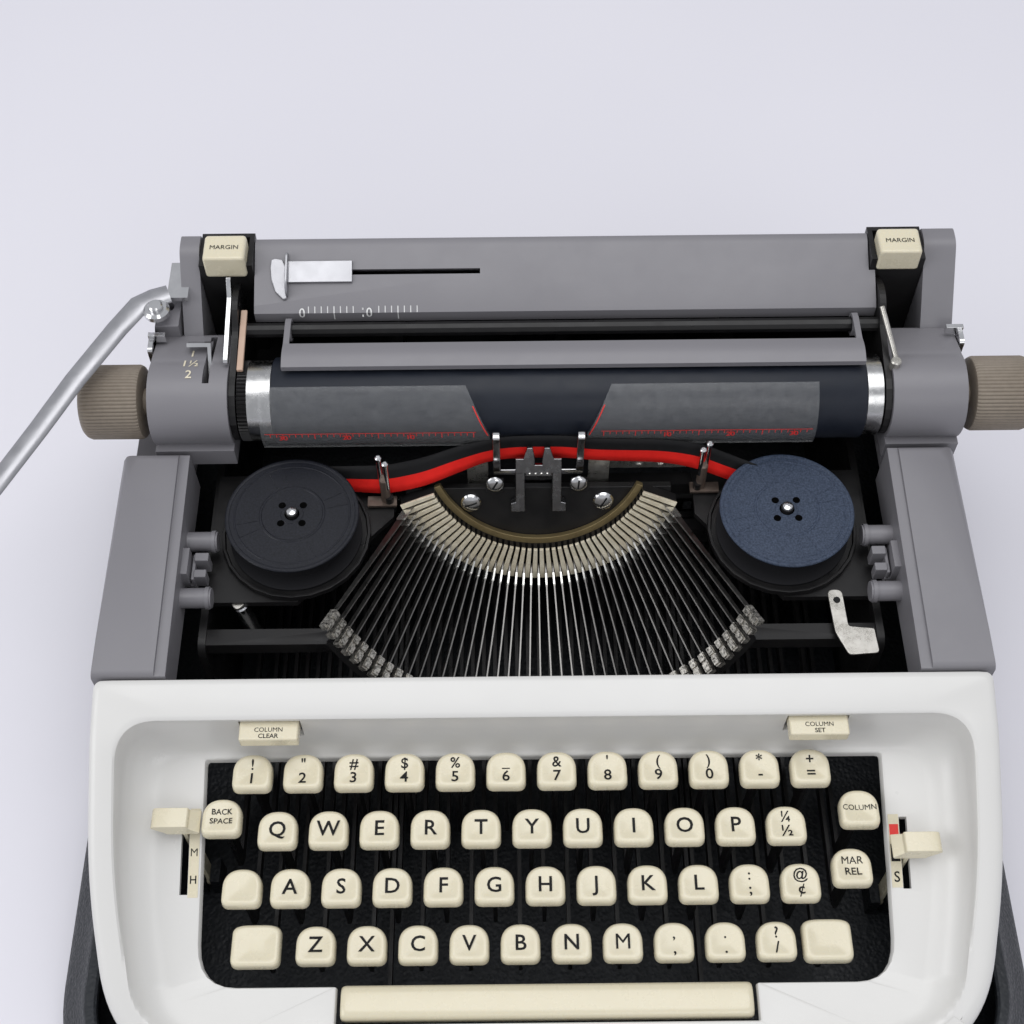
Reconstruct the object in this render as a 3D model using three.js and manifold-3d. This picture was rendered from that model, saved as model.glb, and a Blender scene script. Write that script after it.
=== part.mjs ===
// Manual typewriter: keyboard, type basket, ribbon drive and carriage in a moulded housing.
// Millimetres. X runs to the typist's right, Y to the rear, Z up from the table.
import * as THREE from 'three';
import { mergeVertices } from 'three/addons/utils/BufferGeometryUtils.js';
import Module from 'manifold-3d';

const wasm = await Module();
wasm.setup();

// Driving sizes: fits shared by all pieces
const runGap = 0.3;
const boreGap = 0.35;
const cutOver = 4;
const lap = 1;
const weldGap = 0.0001;
const sliverGap = 0.02;
const roundSides = 24;
const wheelSides = 32;
const smallSides = 10;
const shaftSides = 6;
const bendSteps = 4;
const capSteps = 1;

// Driving sizes: place of the machine's centre plane in the part's own frame
const centreShiftX = 15.2;
const centreShiftY = 3.5;

// Driving sizes: base tray
const trayFloorUnder = 2;
const trayFloor = 3;
const trayWall = 5;
const trayTopZ = 42;
const trayFlareZ = 16;
const trayLedge = 4;
const trayFlareOut = 15;
const trayBulgeShare = 0.45;
const trayFootIn = 7;
const trayTopRear = 158;
const trayFlareFront = 8;
const trayCorner = 34;
const footRadius = 11;
const footInset = 30;

// Driving sizes: keyboard
const keyPitch = 19.05;
const rowDepth = 18.75;
const rowRise = 10;
const homeRowY = -100;
const homeRowZ = 62;
const keyWidth = 15;
const keyDepth = 14.5;
const keyHeight = 5;
const keyEdge = 0.9;
const keyDish = 1.1;
const keyDishIn = 3;
const keyFrontRound = 3.5;
const keyBackRound = 6.5;
const numberRowShare = -5.75;
const topRowShare = -5.25;
const homeRowShare = -5;
const bottomRowShare = -4.5;
const numberRowKeys = 12;
const topRowKeys = 11;
const bottomRowKeys = 10;
const homeRowNames = ['a', 's', 'd', 'f', 'g', 'h', 'j', 'k', 'l', 'semicolon', 'at'];

// Driving sizes: key levers and the rods that they turn on
const leverThick = 1.5;
const leverBottomZ = 22;
const leverDepth = 6;
const leverStem = 6;
const leverHub = 3.7;
const leverBend = 4;
const fulcrumY = 62;
const fulcrumZ = 48;
const fulcrumRadius = 2.5;
const fulcrumStep = 10;
const fulcrumRods = 4;

// Driving sizes: keys beside the four rows
const shiftWidth = 18.6;
const shiftDepth = 16;
const shiftLeftShare = -5.67;
const shiftLeftLeverShare = -5.5;
const shiftRightShare = 5.5;
const lockShare = -5.95;
const backspaceShare = -6.35;
const backspaceY = -76;
const backspaceZ = 74;
const tabShare = 6.2;
const marginReleaseShare = 6;
const marginReleaseY = -95.8;
const marginReleaseZ = 66;
const spaceBarLength = 152;
const spaceBarDepth = 13;
const spaceBarHeight = 6;
const spaceBarY = -138.5;
const spaceBarZ = 47;
const spaceBarArmShare = 3.125;

// Driving sizes: front mask
const maskBackY = -34.6;
const maskFrontReach = 21.5;
const maskFrontY = spaceBarY - maskFrontReach;
const maskSide = 32.4;
const maskTaper = 17;
const maskCorner = 40;
const maskBackZ = 106;
const maskEdgeY = -57;
const maskEdgeZ = 99;
const maskRimFrontZ = 50;
const maskNoseZ = 47.5;
const maskRim = 10;
const maskWall = 3;
const maskBaseZ = trayTopZ + runGap;
const wellSideGap = 11.7;
const wellHalf = -shiftLeftShare * keyPitch + shiftWidth / 2 + wellSideGap;
const sideLeverOut = 6.6;
const sideLeverX = wellHalf + sideLeverOut;
const maskHalf = sideLeverX + maskSide;
const maskFrontHalf = maskHalf - maskTaper;
const trayTopHalf = maskHalf + trayLedge;
const trayTopFront = trayLedge - maskFrontY;
const wellFrontY = -133;
const wellBackY = -54;
const wellBackZ = 74;
const wellFrontZ = 47;
const wellCorner = 15;
const recessRound = 24;
const recessCove = 13;
const recessCoveLow = 2.2;
const notchGap = 1.6;

// Driving sizes: side panels
const panelProud = 1;
const panelWidth = 28;
const panelOutX = maskHalf + panelProud;
const panelInX = panelOutX - panelWidth;
const panelWall = 3;
const panelLip = 2.5;
const panelLipDrop = 19;
const panelFrontY = -34.1;
const panelStepY = 63;
const panelRearY = 150;
const panelFrontZ = 106;
const panelStepZ = 112;
const panelLowZ = 90;
const panelRound = 9;
const pegRadius = 4;
const pegLength = 12;
const pegZ = 95;
const pegFrontY = 5;
const pegRearY = 31;
const clipHeight = 7;

// Driving sizes: mechanism frame
const plateGap = 8.5;
const plateX = panelInX - plateGap;
const plateThick = 3;
const plateFrontY = -12;
const plateTopZ = 83;
const frameRearY = 147;
const frameRearZ = 90;
const frameTie = 6;
const deckThick = 3;
const deckReach = 34.5;
const deckFrontY = 8;
const deckRearY = 69;
const printBarY = 64.6;
const printBarDepth = 6;
const printBarZ = 76;
const printBarHeight = 7;
const basketBarY = 52.2;
const basketBarDepth = 6;
const basketBarZ = 57;
const basketBarHeight = 9;
const frontRailY = 98;
const frontRailDepth = 6;
const rearRailY = 116;
const rearRailDepth = 12;
const railTopZ = 92;
const railRib = 3;
const railRibDepth = 4;

// Driving sizes: ribbon feed
const spoolInset = 33.5;
const spoolX = plateX - spoolInset;
const spoolY = 38.6;
const spoolRadius = 26.8;
const spoolFlange = 1.2;
const spoolBottomZ = 88;
const ribbonWidth = 12.4;
const ribbonThick = 0.6;
const ribbonLeaveAngle = 45;
const ribbonSlack = 0.2;
const leftPackRadius = 21;
const rightPackRadius = 15;
const spoolHub = 6;
const spoolHole = 2.2;
const spoolHoles = 4;
const spoolPin = 2.5;
const spoolPinProud = 2.2;
const cupGap = 2.2;
const cupWall = 1.4;
const cupFloor = 1.5;
const cupRise = 1.7;
const postLeftReach = 37.4;
const postRightReach = 33;
const deckInX = spoolX - deckReach;
const postLeftX = spoolX - postLeftReach;
const postRightX = spoolX - postRightReach;
const postLeftY = 54;
const postRightY = 59.4;
const postRadius = 1.8;
const postTopZ = 115;
const postRibbonZ = 95.7;

// Driving sizes: ribbon vibrator
const fingerX = 17;
const fingerWidth = 3;
const fingerThick = 1.2;
const fingerTopZ = 124;
const fingerHook = 4;
const vibratorY = 62;
const vibratorThick = 1.4;
const vibratorBarZ = 95;
const vibratorBar = 3.4;
const vibratorStemHalf = 6;
const vibratorFootZ = 68;
const vibratorRibbonZ = 106;

// Driving sizes: segment and type basket, in the plane of the segment
const segmentY = 60.6;
const segmentZ = 112;
const segmentTiltAngle = 68;
const pivotRadius = 58;
const segmentOut = 62;
const segmentSlotIn = 50;
const segmentIn = 44;
const segmentFront = 4;
const segmentBack = 5;
const segmentRingTop = 3;
const typebarCount = 43;
const typebarSpreadAngle = 65;
const typebarStepAngle = 2 * typebarSpreadAngle / (typebarCount - 1);
const segmentSpreadAngle = typebarSpreadAngle + typebarStepAngle;
const typebarSlot = 1.4;
const typebarThick = 0.8;
const typebarDepth = 3.2;
const typebarLength = 66;
const typebarSwingAngle = 120;
const typebarHub = 2.3;
const pivotWire = 0.8;
const wireGroove = 1.3;
const slugLength = 9;
const slugWidth = 2.6;
const slugDepth = 3.2;
const slugProud = 1;
const basketPlate = 3.7;
const basketHalf = 55;
const basketTop = 20;
const basketMid = 31.5;
const basketLow = 63;
const basketLowHalf = 28;
const basketRound = 15;
const basketShift = 6.5;
const restDrop = 35.4;
const restThick = 3.4;
const restForward = 46;
const restDepth = 8;
const restSpreadAngle = 61;
const restBracket = 7;
const guideNotch = 1.25;
const guideNotchTop = 2;
const guideNotchDepth = 8.4;
const guideHalf = 7;
const guideTopHalf = 3.5;
const guideTop = 3;
const guideThroat = 12;
const guideFoot = 30;
const guideSpread = 12;
const guideThick = 2;
const guideBack = 2;
const guideLeg = 4;

// Driving sizes: platen and the transparent line guides in front of it
const platenY = 84.3;
const platenZ = 118;
const platenRadius = 17.5;
const platenLeft = -117.6;
const platenRight = 120;
const bandInset = 1.1;
const bandLeft = 9.9;
const bandRight = 6.8;
const ratchetWidth = 3.8;
const ratchetTeeth = 30;
const ratchetTooth = 1;
const axleRadius = 4;
const knobRadius = 15.3;
const knobLength = 25;
const knobRound = 2.4;
const knobHubRadius = 5.5;
const knobHubProud = 1.6;
const knobRibs = 24;
const knobRib = 0.5;
const cardStartAngle = -20;
const cardEndAngle = 68;
const cardGap = 1.6;
const cardThick = 0.8;
const cardInX = 19.5;
const cardOutX = 111;
const cardSlant = 9;
const cardFoot = 9;

// Driving sizes: carriage, measured from the middle of its rail
const carriageOffset = 11;
const endPlate = 2.5;
const endPlateRadius = 16;
const shoeHalf = 70;
const carriageFloorZ = 96.3;
const carriageFloor = 2.7;
const carriageFloorY = 97;
const carriageRearY = 140;
const carriageRearZ = 133;
const carriageWall = 2.5;
const tieRodY = 107.2;
const tieRodZ = 135;
const tieRodRadius = 3;
const troughGap = 1;
const troughWall = 1.4;
const troughStartAngle = 195;
const troughEndAngle = 262;
const earY = 116;
const earZ = 141.5;
const earRadius = 4;

// Driving sizes: end covers
const coverLeftLength = 32;
const coverRightLength = 29.5;
const coverBottomZ = 99.6;
const coverLipY = 65.8;
const coverLipZ = 109;
const coverRearY = 112;
const coverRearZ = 128;
const coverRound = 3;
const coverSeat = 0.1;
const coverArmTop = 9;
const coverShoulderY = 8.8;
const coverShoulderZ = 15.8;
const armLeftWidth = 8;
const armRightWidth = 18;
const armTopY = 143;
const armTopZ = 154;
const bossReach = 9.6;
const bossRearY = 126;
const bossTopZ = 136;

// Driving sizes: paper table and guide
const tableLeft = -126;
const tableRight = 127;
const tableLipY = 112.4;
const tableLipZ = 134;
const tableFoldY = 115;
const tableFoldZ = 141;
const tableTopY = 138;
const tableTopZ = 152;
const tableCornerBack = 8;
const tableCornerDrop = 12;
const tableSheet = 1.8;
const tableSlotLeft = -112;
const tableSlotRight = -34;
const tableSlot = 2.2;
const guideSliderLeft = -113;
const guideSliderLength = 27;
const guideSliderDepth = 9;
const guideSliderSheet = 1.2;
const guidePinLength = 16.2;
const finHeight = 6;
const finFront = 3;
const finRear = 3.6;
const finRound = 2;
const finThick = 1;

// Driving sizes: paper bail
const bailLeft = -113;
const bailRight = 119;
const bailFrontY = 84;
const bailDepth = 12;
const bailRound = 3;
const bailBottomZ = 137.6;
const bailSheet = 2.4;
const bailCrown = 1.6;
const bailArm = 2.4;
const bailRing = 4.8;

// Driving sizes: small carriage levers and keys
const marginKeyWidth = 17;
const marginKeyDepth = 13;
const marginKeyHeight = 11;
const marginKeyY = 135.4;
const marginKeyZ = 160;
const marginKeyLeft = -137;
const marginKeyRight = 135.6;
const marginKeyStem = 5;
const marginKeyStemDrop = 9.8;
const marginWellWall = 2;
const marginWellDepth = 7;
const releaseRadius = 3.6;
const releaseThick = 1.8;
const releaseTipY = 88;
const releaseTipZ = 137.5;
const releaseTopY = 122.5;
const releaseTopZ = 149;
const releaseWidth = 6;
const lineLeverX = -143.4;
const lineLeverThick = 1.4;
const lineLeverWidth = 6;
const lineLeverRadius = 22.5;
const lineLeverAngle = 44;
const lineTabLength = 9;
const lineTabThick = 1.6;
const clutchY = 102;
const clutchZ = 114;
const clutchHeight = 20;
const clutchWidth = 8;
const clutchThick = 2;
const clutchHub = 4;
const clutchPin = 1.6;
const clutchPinLength = 4;
const clutchPinBore = 4.8;
const clutchTab = 5;

// Driving sizes: carriage return lever
const returnX = -162.6;
const returnY = 119.6;
const returnZ = 140.5;
const returnHub = 5.8;
const returnThick = 3.4;
const returnHeight = 5;
const returnPin = 2.4;
const returnPinDeep = 6;
const returnElbowX = -172.6;
const returnElbowY = 117.7;
const returnElbowZ = 140;
const returnMidX = -193.6;
const returnMidY = 78.5;
const returnMidZ = 140.4;
const returnLowX = -219.4;
const returnLowY = 37;
const returnLowZ = 130.6;
const returnTipX = -238;
const returnTipY = 8;
const returnTipZ = 124;
const returnGrip = 7;

// Driving sizes: levers and keys in the mask
const sideLeverThick = 1.6;
const sideLeverPivotZ = 14;
const sideLeverHub = 5;
const sideLeverSlotGap = 0.7;
const sideKnobWidth = 13;
const sideKnobDepth = 9;
const sideKnobHeight = 6;
const sideKnobFoot = 1.5;
const sideKnobRound = 2;
const touchY = -78;
const touchZ = 76;
const touchTravel = 18;
const selectorY = -89.4;
const selectorZ = 73.5;
const selectorTravel = 7;
const sideStemHalf = 3;
const sideSlotEnd = 2.5;
const columnKeyInset = 27;
const columnKeyX = wellHalf - columnKeyInset;
const columnKeyWidth = 21;
const columnKeyDepth = 6.5;
const columnKeyHeight = 9;
const columnKeyZ = 101.4;
const columnKeyFrontY = -59;
const columnKeyBlade = 2;
const columnKeyBladeDrop = 20;
const columnNotchZ = 66;

const up = new THREE.Vector3(0, 0, 1);
const radians = THREE.MathUtils.degToRad;

// Turns a three.js geometry into a closed manifold solid.
function solidOf(geometry) {
  const bare = new THREE.BufferGeometry();
  bare.setAttribute('position', geometry.getAttribute('position'));
  if (geometry.index) bare.setIndex(geometry.index);
  const merged = mergeVertices(bare, weldGap);
  return new wasm.Manifold(new wasm.Mesh({
    numProp: 3,
    vertProperties: new Float32Array(merged.attributes.position.array),
    triVerts: new Uint32Array(merged.index.array),
  }));
}

// Names a solid, gives it its colour and turns it into a mesh of the scene.
function piece(name, solid, finish) {
  const result = solid.simplify(sliverGap).getMesh();
  const geometry = new THREE.BufferGeometry();
  geometry.setAttribute('position', new THREE.BufferAttribute(new Float32Array(result.vertProperties), 3));
  geometry.setIndex(new THREE.BufferAttribute(new Uint32Array(result.triVerts), 1));
  geometry.computeVertexNormals();
  const mesh = new THREE.Mesh(geometry, finish);
  mesh.name = name;
  return mesh;
}

function finish(color, roughness, metalness) {
  return new THREE.MeshStandardMaterial({ color, roughness, metalness });
}

function joined(...solids) {
  return solids.flat().reduce((whole, next) => whole.add(next));
}

function without(solid, ...tools) {
  return tools.flat().reduce((rest, tool) => rest.subtract(tool), solid);
}

function block(x0, x1, y0, y1, z0, z1) {
  const geometry = new THREE.BoxGeometry(x1 - x0, y1 - y0, z1 - z0);
  geometry.translate((x0 + x1) / 2, (y0 + y1) / 2, (z0 + z1) / 2);
  return solidOf(geometry);
}

// A closed outline through corners [u, v, round], with the rounded ones drawn as curves.
function outline(corners) {
  const shape = new THREE.Shape();
  const point = (index) => new THREE.Vector2(...corners.at(index % corners.length).slice(0, 2));
  corners.forEach(([u, v, round = 0], index) => {
    const corner = new THREE.Vector2(u, v);
    const inward = point(index - 1).sub(corner).setLength(round).add(corner);
    const outward = point(index + 1).sub(corner).setLength(round).add(corner);
    if (index === 0) shape.moveTo(inward.x, inward.y);
    else shape.lineTo(inward.x, inward.y);
    if (round > 0) shape.quadraticCurveTo(u, v, outward.x, outward.y);
  });
  shape.closePath();
  return shape;
}

function extruded(corners, length, steps) {
  const shape = corners instanceof THREE.Shape ? corners : outline(corners);
  return new THREE.ExtrudeGeometry(shape, { depth: length, bevelEnabled: false, curveSegments: steps });
}

// Prisms along each axis: corners are [y, z], [x, z] and [x, y].
function prismX(corners, x0, x1, steps = bendSteps) {
  const geometry = extruded(corners, x1 - x0, steps);
  const axes = new THREE.Matrix4().makeBasis(
    new THREE.Vector3(0, 1, 0), up, new THREE.Vector3(1, 0, 0));
  return solidOf(geometry.applyMatrix4(axes.setPosition(x0, 0, 0)));
}

function prismY(corners, y0, y1, steps = bendSteps) {
  const geometry = extruded(corners, y1 - y0, steps);
  const axes = new THREE.Matrix4().makeBasis(
    new THREE.Vector3(1, 0, 0), up, new THREE.Vector3(0, -1, 0));
  return solidOf(geometry.applyMatrix4(axes.setPosition(0, y1, 0)));
}

function prismZ(corners, z0, z1, steps = bendSteps) {
  return solidOf(extruded(corners, z1 - z0, steps).translate(0, 0, z0));
}

function rod(from, to, radius, sides = smallSides) {
  const start = new THREE.Vector3(...from);
  const run = new THREE.Vector3(...to).sub(start);
  const geometry = new THREE.CylinderGeometry(radius, radius, run.length(), sides);
  geometry.translate(0, run.length() / 2, 0);
  geometry.applyQuaternion(new THREE.Quaternion().setFromUnitVectors(
    new THREE.Vector3(0, 1, 0), run.normalize()));
  return solidOf(geometry.translate(start.x, start.y, start.z));
}

// Turned solids: profiles are [position along the axis, radius].
function turnedX(profile, sides) {
  const points = profile.map(([along, radius]) => new THREE.Vector2(radius, along));
  return solidOf(new THREE.LatheGeometry(points, sides).rotateZ(-Math.PI / 2));
}

function turnedZ(profile, sides) {
  const points = profile.map(([along, radius]) => new THREE.Vector2(radius, along));
  return solidOf(new THREE.LatheGeometry(points, sides).rotateX(Math.PI / 2));
}

// A skin over rings of equally many points, closed by a fan at either end.
function loft(rings) {
  const count = rings[0].length;
  const points = rings.flat();
  const faces = [];
  const middles = [rings[0], rings.at(-1)].map((ring) => {
    const middle = new THREE.Vector3();
    ring.forEach((corner) => middle.add(corner));
    points.push(middle.divideScalar(count));
    return points.length - 1;
  });
  const last = (rings.length - 1) * count;
  for (let i = 0; i < count; i += 1) {
    const next = (i + 1) % count;
    for (let start = 0; start < last; start += count) {
      faces.push(start + i, start + next, start + count + next);
      faces.push(start + i, start + count + next, start + count + i);
    }
    faces.push(middles[0], next, i, middles[1], last + i, last + next);
  }
  const geometry = new THREE.BufferGeometry().setFromPoints(points);
  geometry.setIndex(faces);
  return solidOf(geometry);
}

// A ring round the X axis whose points stand on two radii in turn, as teeth or ribs do.
function toothedRing(x, teeth, outer, inner) {
  return Array.from({ length: 2 * teeth }, (_, index) => {
    const angle = Math.PI * index / teeth;
    const radius = index % 2 === 0 ? outer : inner;
    return new THREE.Vector3(x, radius * Math.cos(angle), radius * Math.sin(angle));
  });
}

// A flat bar that stands on edge along a route; its width is upright.
function uprightBar(route, width, thick) {
  const rings = route.map((here, index) => {
    const before = route[Math.max(index - 1, 0)];
    const after = route[Math.min(index + 1, route.length - 1)];
    const along = after.clone().sub(before).setZ(0).normalize();
    const side = new THREE.Vector3(-along.y, along.x, 0).multiplyScalar(thick / 2);
    const rise = new THREE.Vector3(0, 0, width / 2);
    return [
      here.clone().sub(side).sub(rise), here.clone().add(side).sub(rise),
      here.clone().add(side).add(rise), here.clone().sub(side).add(rise),
    ];
  });
  return loft(rings);
}

// An annular sector in the XY plane; angles run from straight down towards +X.
function sector(inner, outer, fromAngle, toAngle, z0, z1, steps) {
  const at = (radius, angle) => [radius * Math.sin(radians(angle)), -radius * Math.cos(radians(angle))];
  const angles = Array.from({ length: steps + 1 }, (_, i) => fromAngle + (toAngle - fromAngle) * i / steps);
  const outside = angles.map((angle) => at(outer, angle));
  const inside = angles.toReversed().map((angle) => at(inner, angle));
  return prismZ([...outside, ...inside], z0, z1);
}

// A curved sheet round the platen; angles run from straight ahead upwards.
function sheetRoundPlaten(inner, thick, fromAngle, toAngle, x0, x1, steps) {
  const at = (radius, angle) => [
    platenY - radius * Math.cos(radians(angle)), platenZ + radius * Math.sin(radians(angle))];
  const angles = Array.from({ length: steps + 1 }, (_, i) => fromAngle + (toAngle - fromAngle) * i / steps);
  const outside = angles.map((angle) => at(inner + thick, angle));
  const inside = angles.toReversed().map((angle) => at(inner, angle));
  return prismX([...outside, ...inside], x0, x1);
}

// Finishes
const greyPaint = () => finish(0x87878c, 0.55, 0.1);
const paleMask = () => finish(0xe0e2e3, 0.5, 0);
const blackTray = () => finish(0x32363c, 0.6, 0);
const ivoryKey = () => finish(0xe8e2cd, 0.35, 0);
const chrome = () => finish(0xc8c8c8, 0.2, 0.95);
const steel = () => finish(0x9a9a98, 0.35, 0.9);
const darkSteel = () => finish(0x2c2d30, 0.4, 0.7);
const rubber = () => finish(0x1e232d, 0.45, 0);

// Base tray: a flared shell with rounded corners on four moulded feet.
function trayOutline(halfWidth, front, rear, corner) {
  const corners = [
    [-halfWidth, -front, corner], [halfWidth, -front, corner],
    [halfWidth, rear, corner], [-halfWidth, rear, corner],
  ];
  return outline(corners).extractPoints(bendSteps + 1).shape;
}

function trayRing(offset, z) {
  const ring = trayOutline(
    trayTopHalf + offset, trayTopFront + offset * trayFlareFront / trayFlareOut,
    trayTopRear + offset * trayFlareFront / trayFlareOut, trayCorner + offset);
  return ring.map((point) => new THREE.Vector3(point.x, point.y, z));
}

function baseTray() {
  const floorTop = trayFloorUnder + trayFloor;
  const outer = loft([
    trayRing(trayFlareOut - trayFootIn, trayFloorUnder),
    trayRing(trayFlareOut, trayFlareZ),
    trayRing(trayFlareOut * trayBulgeShare, (trayFlareZ + trayTopZ) / 2),
    trayRing(0, trayTopZ),
  ]);
  const inner = loft([
    trayRing(trayFlareOut - trayFootIn - trayWall, floorTop),
    trayRing(trayFlareOut * trayBulgeShare - trayWall, (trayFlareZ + trayTopZ) / 2),
    trayRing(-trayWall, trayTopZ + cutOver),
  ]);
  const footX = trayTopHalf - footInset;
  const footY = [footInset - trayTopFront, trayTopRear - footInset];
  const feet = [-footX, footX].flatMap((x) => footY.map((y) => rod(
    [x, y, 0], [x, y, floorTop], footRadius, roundSides)));
  const ears = [-1, 1].map((side) => {
    const y = side < 0 ? touchY : selectorY;
    const ear = block(
      side * sideLeverX - sideLeverHub, side * sideLeverX + sideLeverHub,
      y - sideLeverHub, y + sideLeverHub, floorTop - lap, sideLeverPivotZ + sideLeverHub);
    const slotHalf = sideLeverThick / 2 + runGap;
    const slot = block(
      side * sideLeverX - slotHalf, side * sideLeverX + slotHalf,
      y - sideLeverHub - cutOver, y + sideLeverHub + cutOver, floorTop, sideLeverPivotZ + 2 * sideLeverHub);
    return ear.subtract(slot);
  });
  return joined(outer.subtract(inner), feet, ears);
}

// Front mask: a sloping shell with a coved recess, the key well and the slots of its levers.
function recessFloorZ(y) {
  const slope = (wellBackZ - wellFrontZ) / (wellBackY - wellFrontY);
  return Math.max(wellFrontZ + (y - wellFrontY) * slope, wellFrontZ);
}

function maskOutline(inset) {
  return [
    [-maskFrontHalf + inset, maskFrontY + inset, maskCorner],
    [maskFrontHalf - inset, maskFrontY + inset, maskCorner],
    [maskHalf - inset, homeRowY, rowDepth],
    [maskHalf - inset, maskBackY - inset],
    [-maskHalf + inset, maskBackY - inset],
    [-maskHalf + inset, homeRowY, rowDepth],
  ];
}

function recessRing(inset, rise, backY) {
  const front = maskFrontY + maskRim + inset;
  const corners = [
    [-maskFrontHalf + maskRim + inset, front, recessRound + maskRim],
    [maskFrontHalf - maskRim - inset, front, recessRound + maskRim],
    [maskHalf - maskRim - inset, homeRowY, rowDepth],
    [maskHalf - maskRim - inset, backY, recessRound],
    [-maskHalf + maskRim + inset, backY, recessRound],
    [-maskHalf + maskRim + inset, homeRowY, rowDepth],
  ];
  const ring = outline(corners).extractPoints(bendSteps).shape;
  return ring.map((point) => new THREE.Vector3(point.x, point.y, recessFloorZ(point.y) + rise));
}

function frontMask() {
  const profile = [
    [maskFrontY, maskBaseZ], [maskBackY, maskBaseZ], [maskBackY, maskBackZ],
    [maskEdgeY, maskEdgeZ], [maskFrontY + maskRim, maskRimFrontZ], [maskFrontY, maskNoseZ],
  ];
  const outer = prismZ(maskOutline(0), maskBaseZ, maskBackZ).intersect(prismX(profile, -maskHalf, maskHalf));
  const recess = loft([
    recessRing(recessCove, 0, wellBackY),
    recessRing(recessCove / 2, recessCoveLow, wellBackY),
    recessRing(recessCoveLow, recessCove / 2, wellBackY),
    recessRing(0, recessCove, wellBackY),
    recessRing(0, maskBackZ, maskEdgeY),
  ]);
  const hollow = [
    [wellFrontY + maskWall, maskBaseZ - cutOver],
    [wellFrontY + maskWall, wellFrontZ - maskWall],
    [wellBackY + maskWall, wellBackZ - maskWall],
    [maskEdgeY + 2 * maskWall, maskEdgeZ - maskWall],
    [maskBackY - maskWall, maskBackZ - 2 * maskWall],
    [maskBackY - maskWall, maskBaseZ - cutOver],
  ];
  const inside = prismZ(maskOutline(maskWall), maskBaseZ - cutOver, maskBackZ)
    .intersect(prismX(hollow, -maskHalf, maskHalf));
  const well = prismZ([
    [-wellHalf, wellFrontY, wellCorner], [wellHalf, wellFrontY, wellCorner],
    [wellHalf, wellBackY, keyEdge], [-wellHalf, wellBackY, keyEdge],
  ], maskBaseZ - cutOver, wellBackZ + maskWall);
  const barHalf = spaceBarLength / 2 + notchGap;
  const notch = block(
    -barHalf, barHalf, spaceBarY - spaceBarDepth / 2 - notchGap, wellFrontY + cutOver,
    maskBaseZ - cutOver, maskBackZ);
  return without(outer, inside, recess, well, notch, leverSlots(), columnNotches());
}

function leverSlots() {
  const half = sideLeverThick / 2 + sideLeverSlotGap;
  const slot = (x, fromY, toY) => block(
    x - half, x + half, fromY - sideStemHalf - sideSlotEnd, toY + sideStemHalf + sideSlotEnd,
    maskBaseZ - cutOver, maskBackZ);
  return [
    slot(-sideLeverX, touchY - touchTravel, touchY),
    slot(sideLeverX, selectorY - selectorTravel, selectorY + selectorTravel),
  ];
}

function columnNotches() {
  const half = columnKeyWidth / 2 + notchGap / 2;
  return [-1, 1].map((side) => block(
    side * columnKeyX - half, side * columnKeyX + half, maskEdgeY - cutOver,
    columnKeyFrontY + columnKeyDepth + notchGap / 2, columnNotchZ, maskBackZ));
}

// Side panels: a channel over the spools, an outer wall to the rear, and the hinge pegs
function sidePanel(side) {
  const profile = [
    [panelFrontY, maskBaseZ], [panelFrontY, panelFrontZ, panelWall], [panelStepY, panelStepZ, panelWall],
    [panelStepY, panelLowZ], [panelRearY, panelLowZ, panelWall], [panelRearY, maskBaseZ],
  ];
  const section = [
    [panelInX, maskBaseZ], [panelOutX, maskBaseZ], [panelOutX, panelStepZ, panelRound],
    [panelInX, panelStepZ, panelWall / 2],
  ];
  const whole = prismY(section, panelFrontY, panelRearY).intersect(prismX(profile, panelInX, panelOutX));
  const inner = profile.map(([y, z]) => [
    y === panelFrontY ? y + panelWall : y - panelWall, z === maskBaseZ ? z - cutOver : z - panelWall]);
  const hollow = prismX(inner, panelInX + panelLip, panelOutX - panelWall);
  const lipBottom = panelStepZ - panelLipDrop;
  const windowBelow = block(
    panelInX - cutOver, panelOutX - panelWall, panelFrontY + panelWall, panelRearY - panelWall,
    maskBaseZ - cutOver, panelLowZ - panelWall);
  const windowRear = block(
    panelInX - cutOver, panelInX + panelLip, panelStepY, panelRearY, maskBaseZ, lipBottom);
  const pegs = [pegFrontY, pegRearY].map((y) => rod(
    [panelInX - pegLength, y, pegZ], [panelInX + panelLip / 2, y, pegZ], pegRadius, roundSides));
  const clipHalf = (pegRearY - pegFrontY) / 2 - pegRadius - panelWall;
  const clipY = (pegRearY + pegFrontY) / 2;
  const clip = block(
    panelInX - panelLip, panelInX + panelLip / 2, clipY - clipHalf, clipY + clipHalf,
    pegZ - clipHeight / 2, pegZ + clipHeight);
  const panel = without(whole, hollow, windowBelow, windowRear).add(joined(clip, pegs));
  return side > 0 ? panel : panel.mirror([1, 0, 0]);
}

// Mechanism frame: side plates, cross bars, carriage rails, spool decks, ribbon posts and type rest.
const basketFrame = new THREE.Matrix4()
  .makeRotationX(radians(segmentTiltAngle))
  .setPosition(0, segmentY, segmentZ);

function inBasketFrame(solid) {
  return solid.transform(basketFrame.elements);
}

function typeRest() {
  const inner = pivotRadius + restDrop;
  return inBasketFrame(sector(
    inner, inner + restThick, -restSpreadAngle, restSpreadAngle, restForward,
    restForward + restDepth, roundSides)
    .translate([0, -basketShift, 0]));
}

function restBrackets() {
  const radius = pivotRadius + restDrop + restThick / 2;
  const angle = radians(restSpreadAngle);
  const end = new THREE.Vector3(
    radius * Math.sin(angle), -radius * Math.cos(angle) - basketShift, restForward + restDepth / 2)
    .applyMatrix4(basketFrame);
  const half = restBracket / 2;
  return [-1, 1].map((side) => {
    const xs = [side * (end.x - restThick), side * (plateX + plateThick / 2)].sort((a, b) => a - b);
    return block(xs[0], xs[1], end.y - half, end.y + half, end.z - restBracket, end.z);
  });
}

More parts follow.
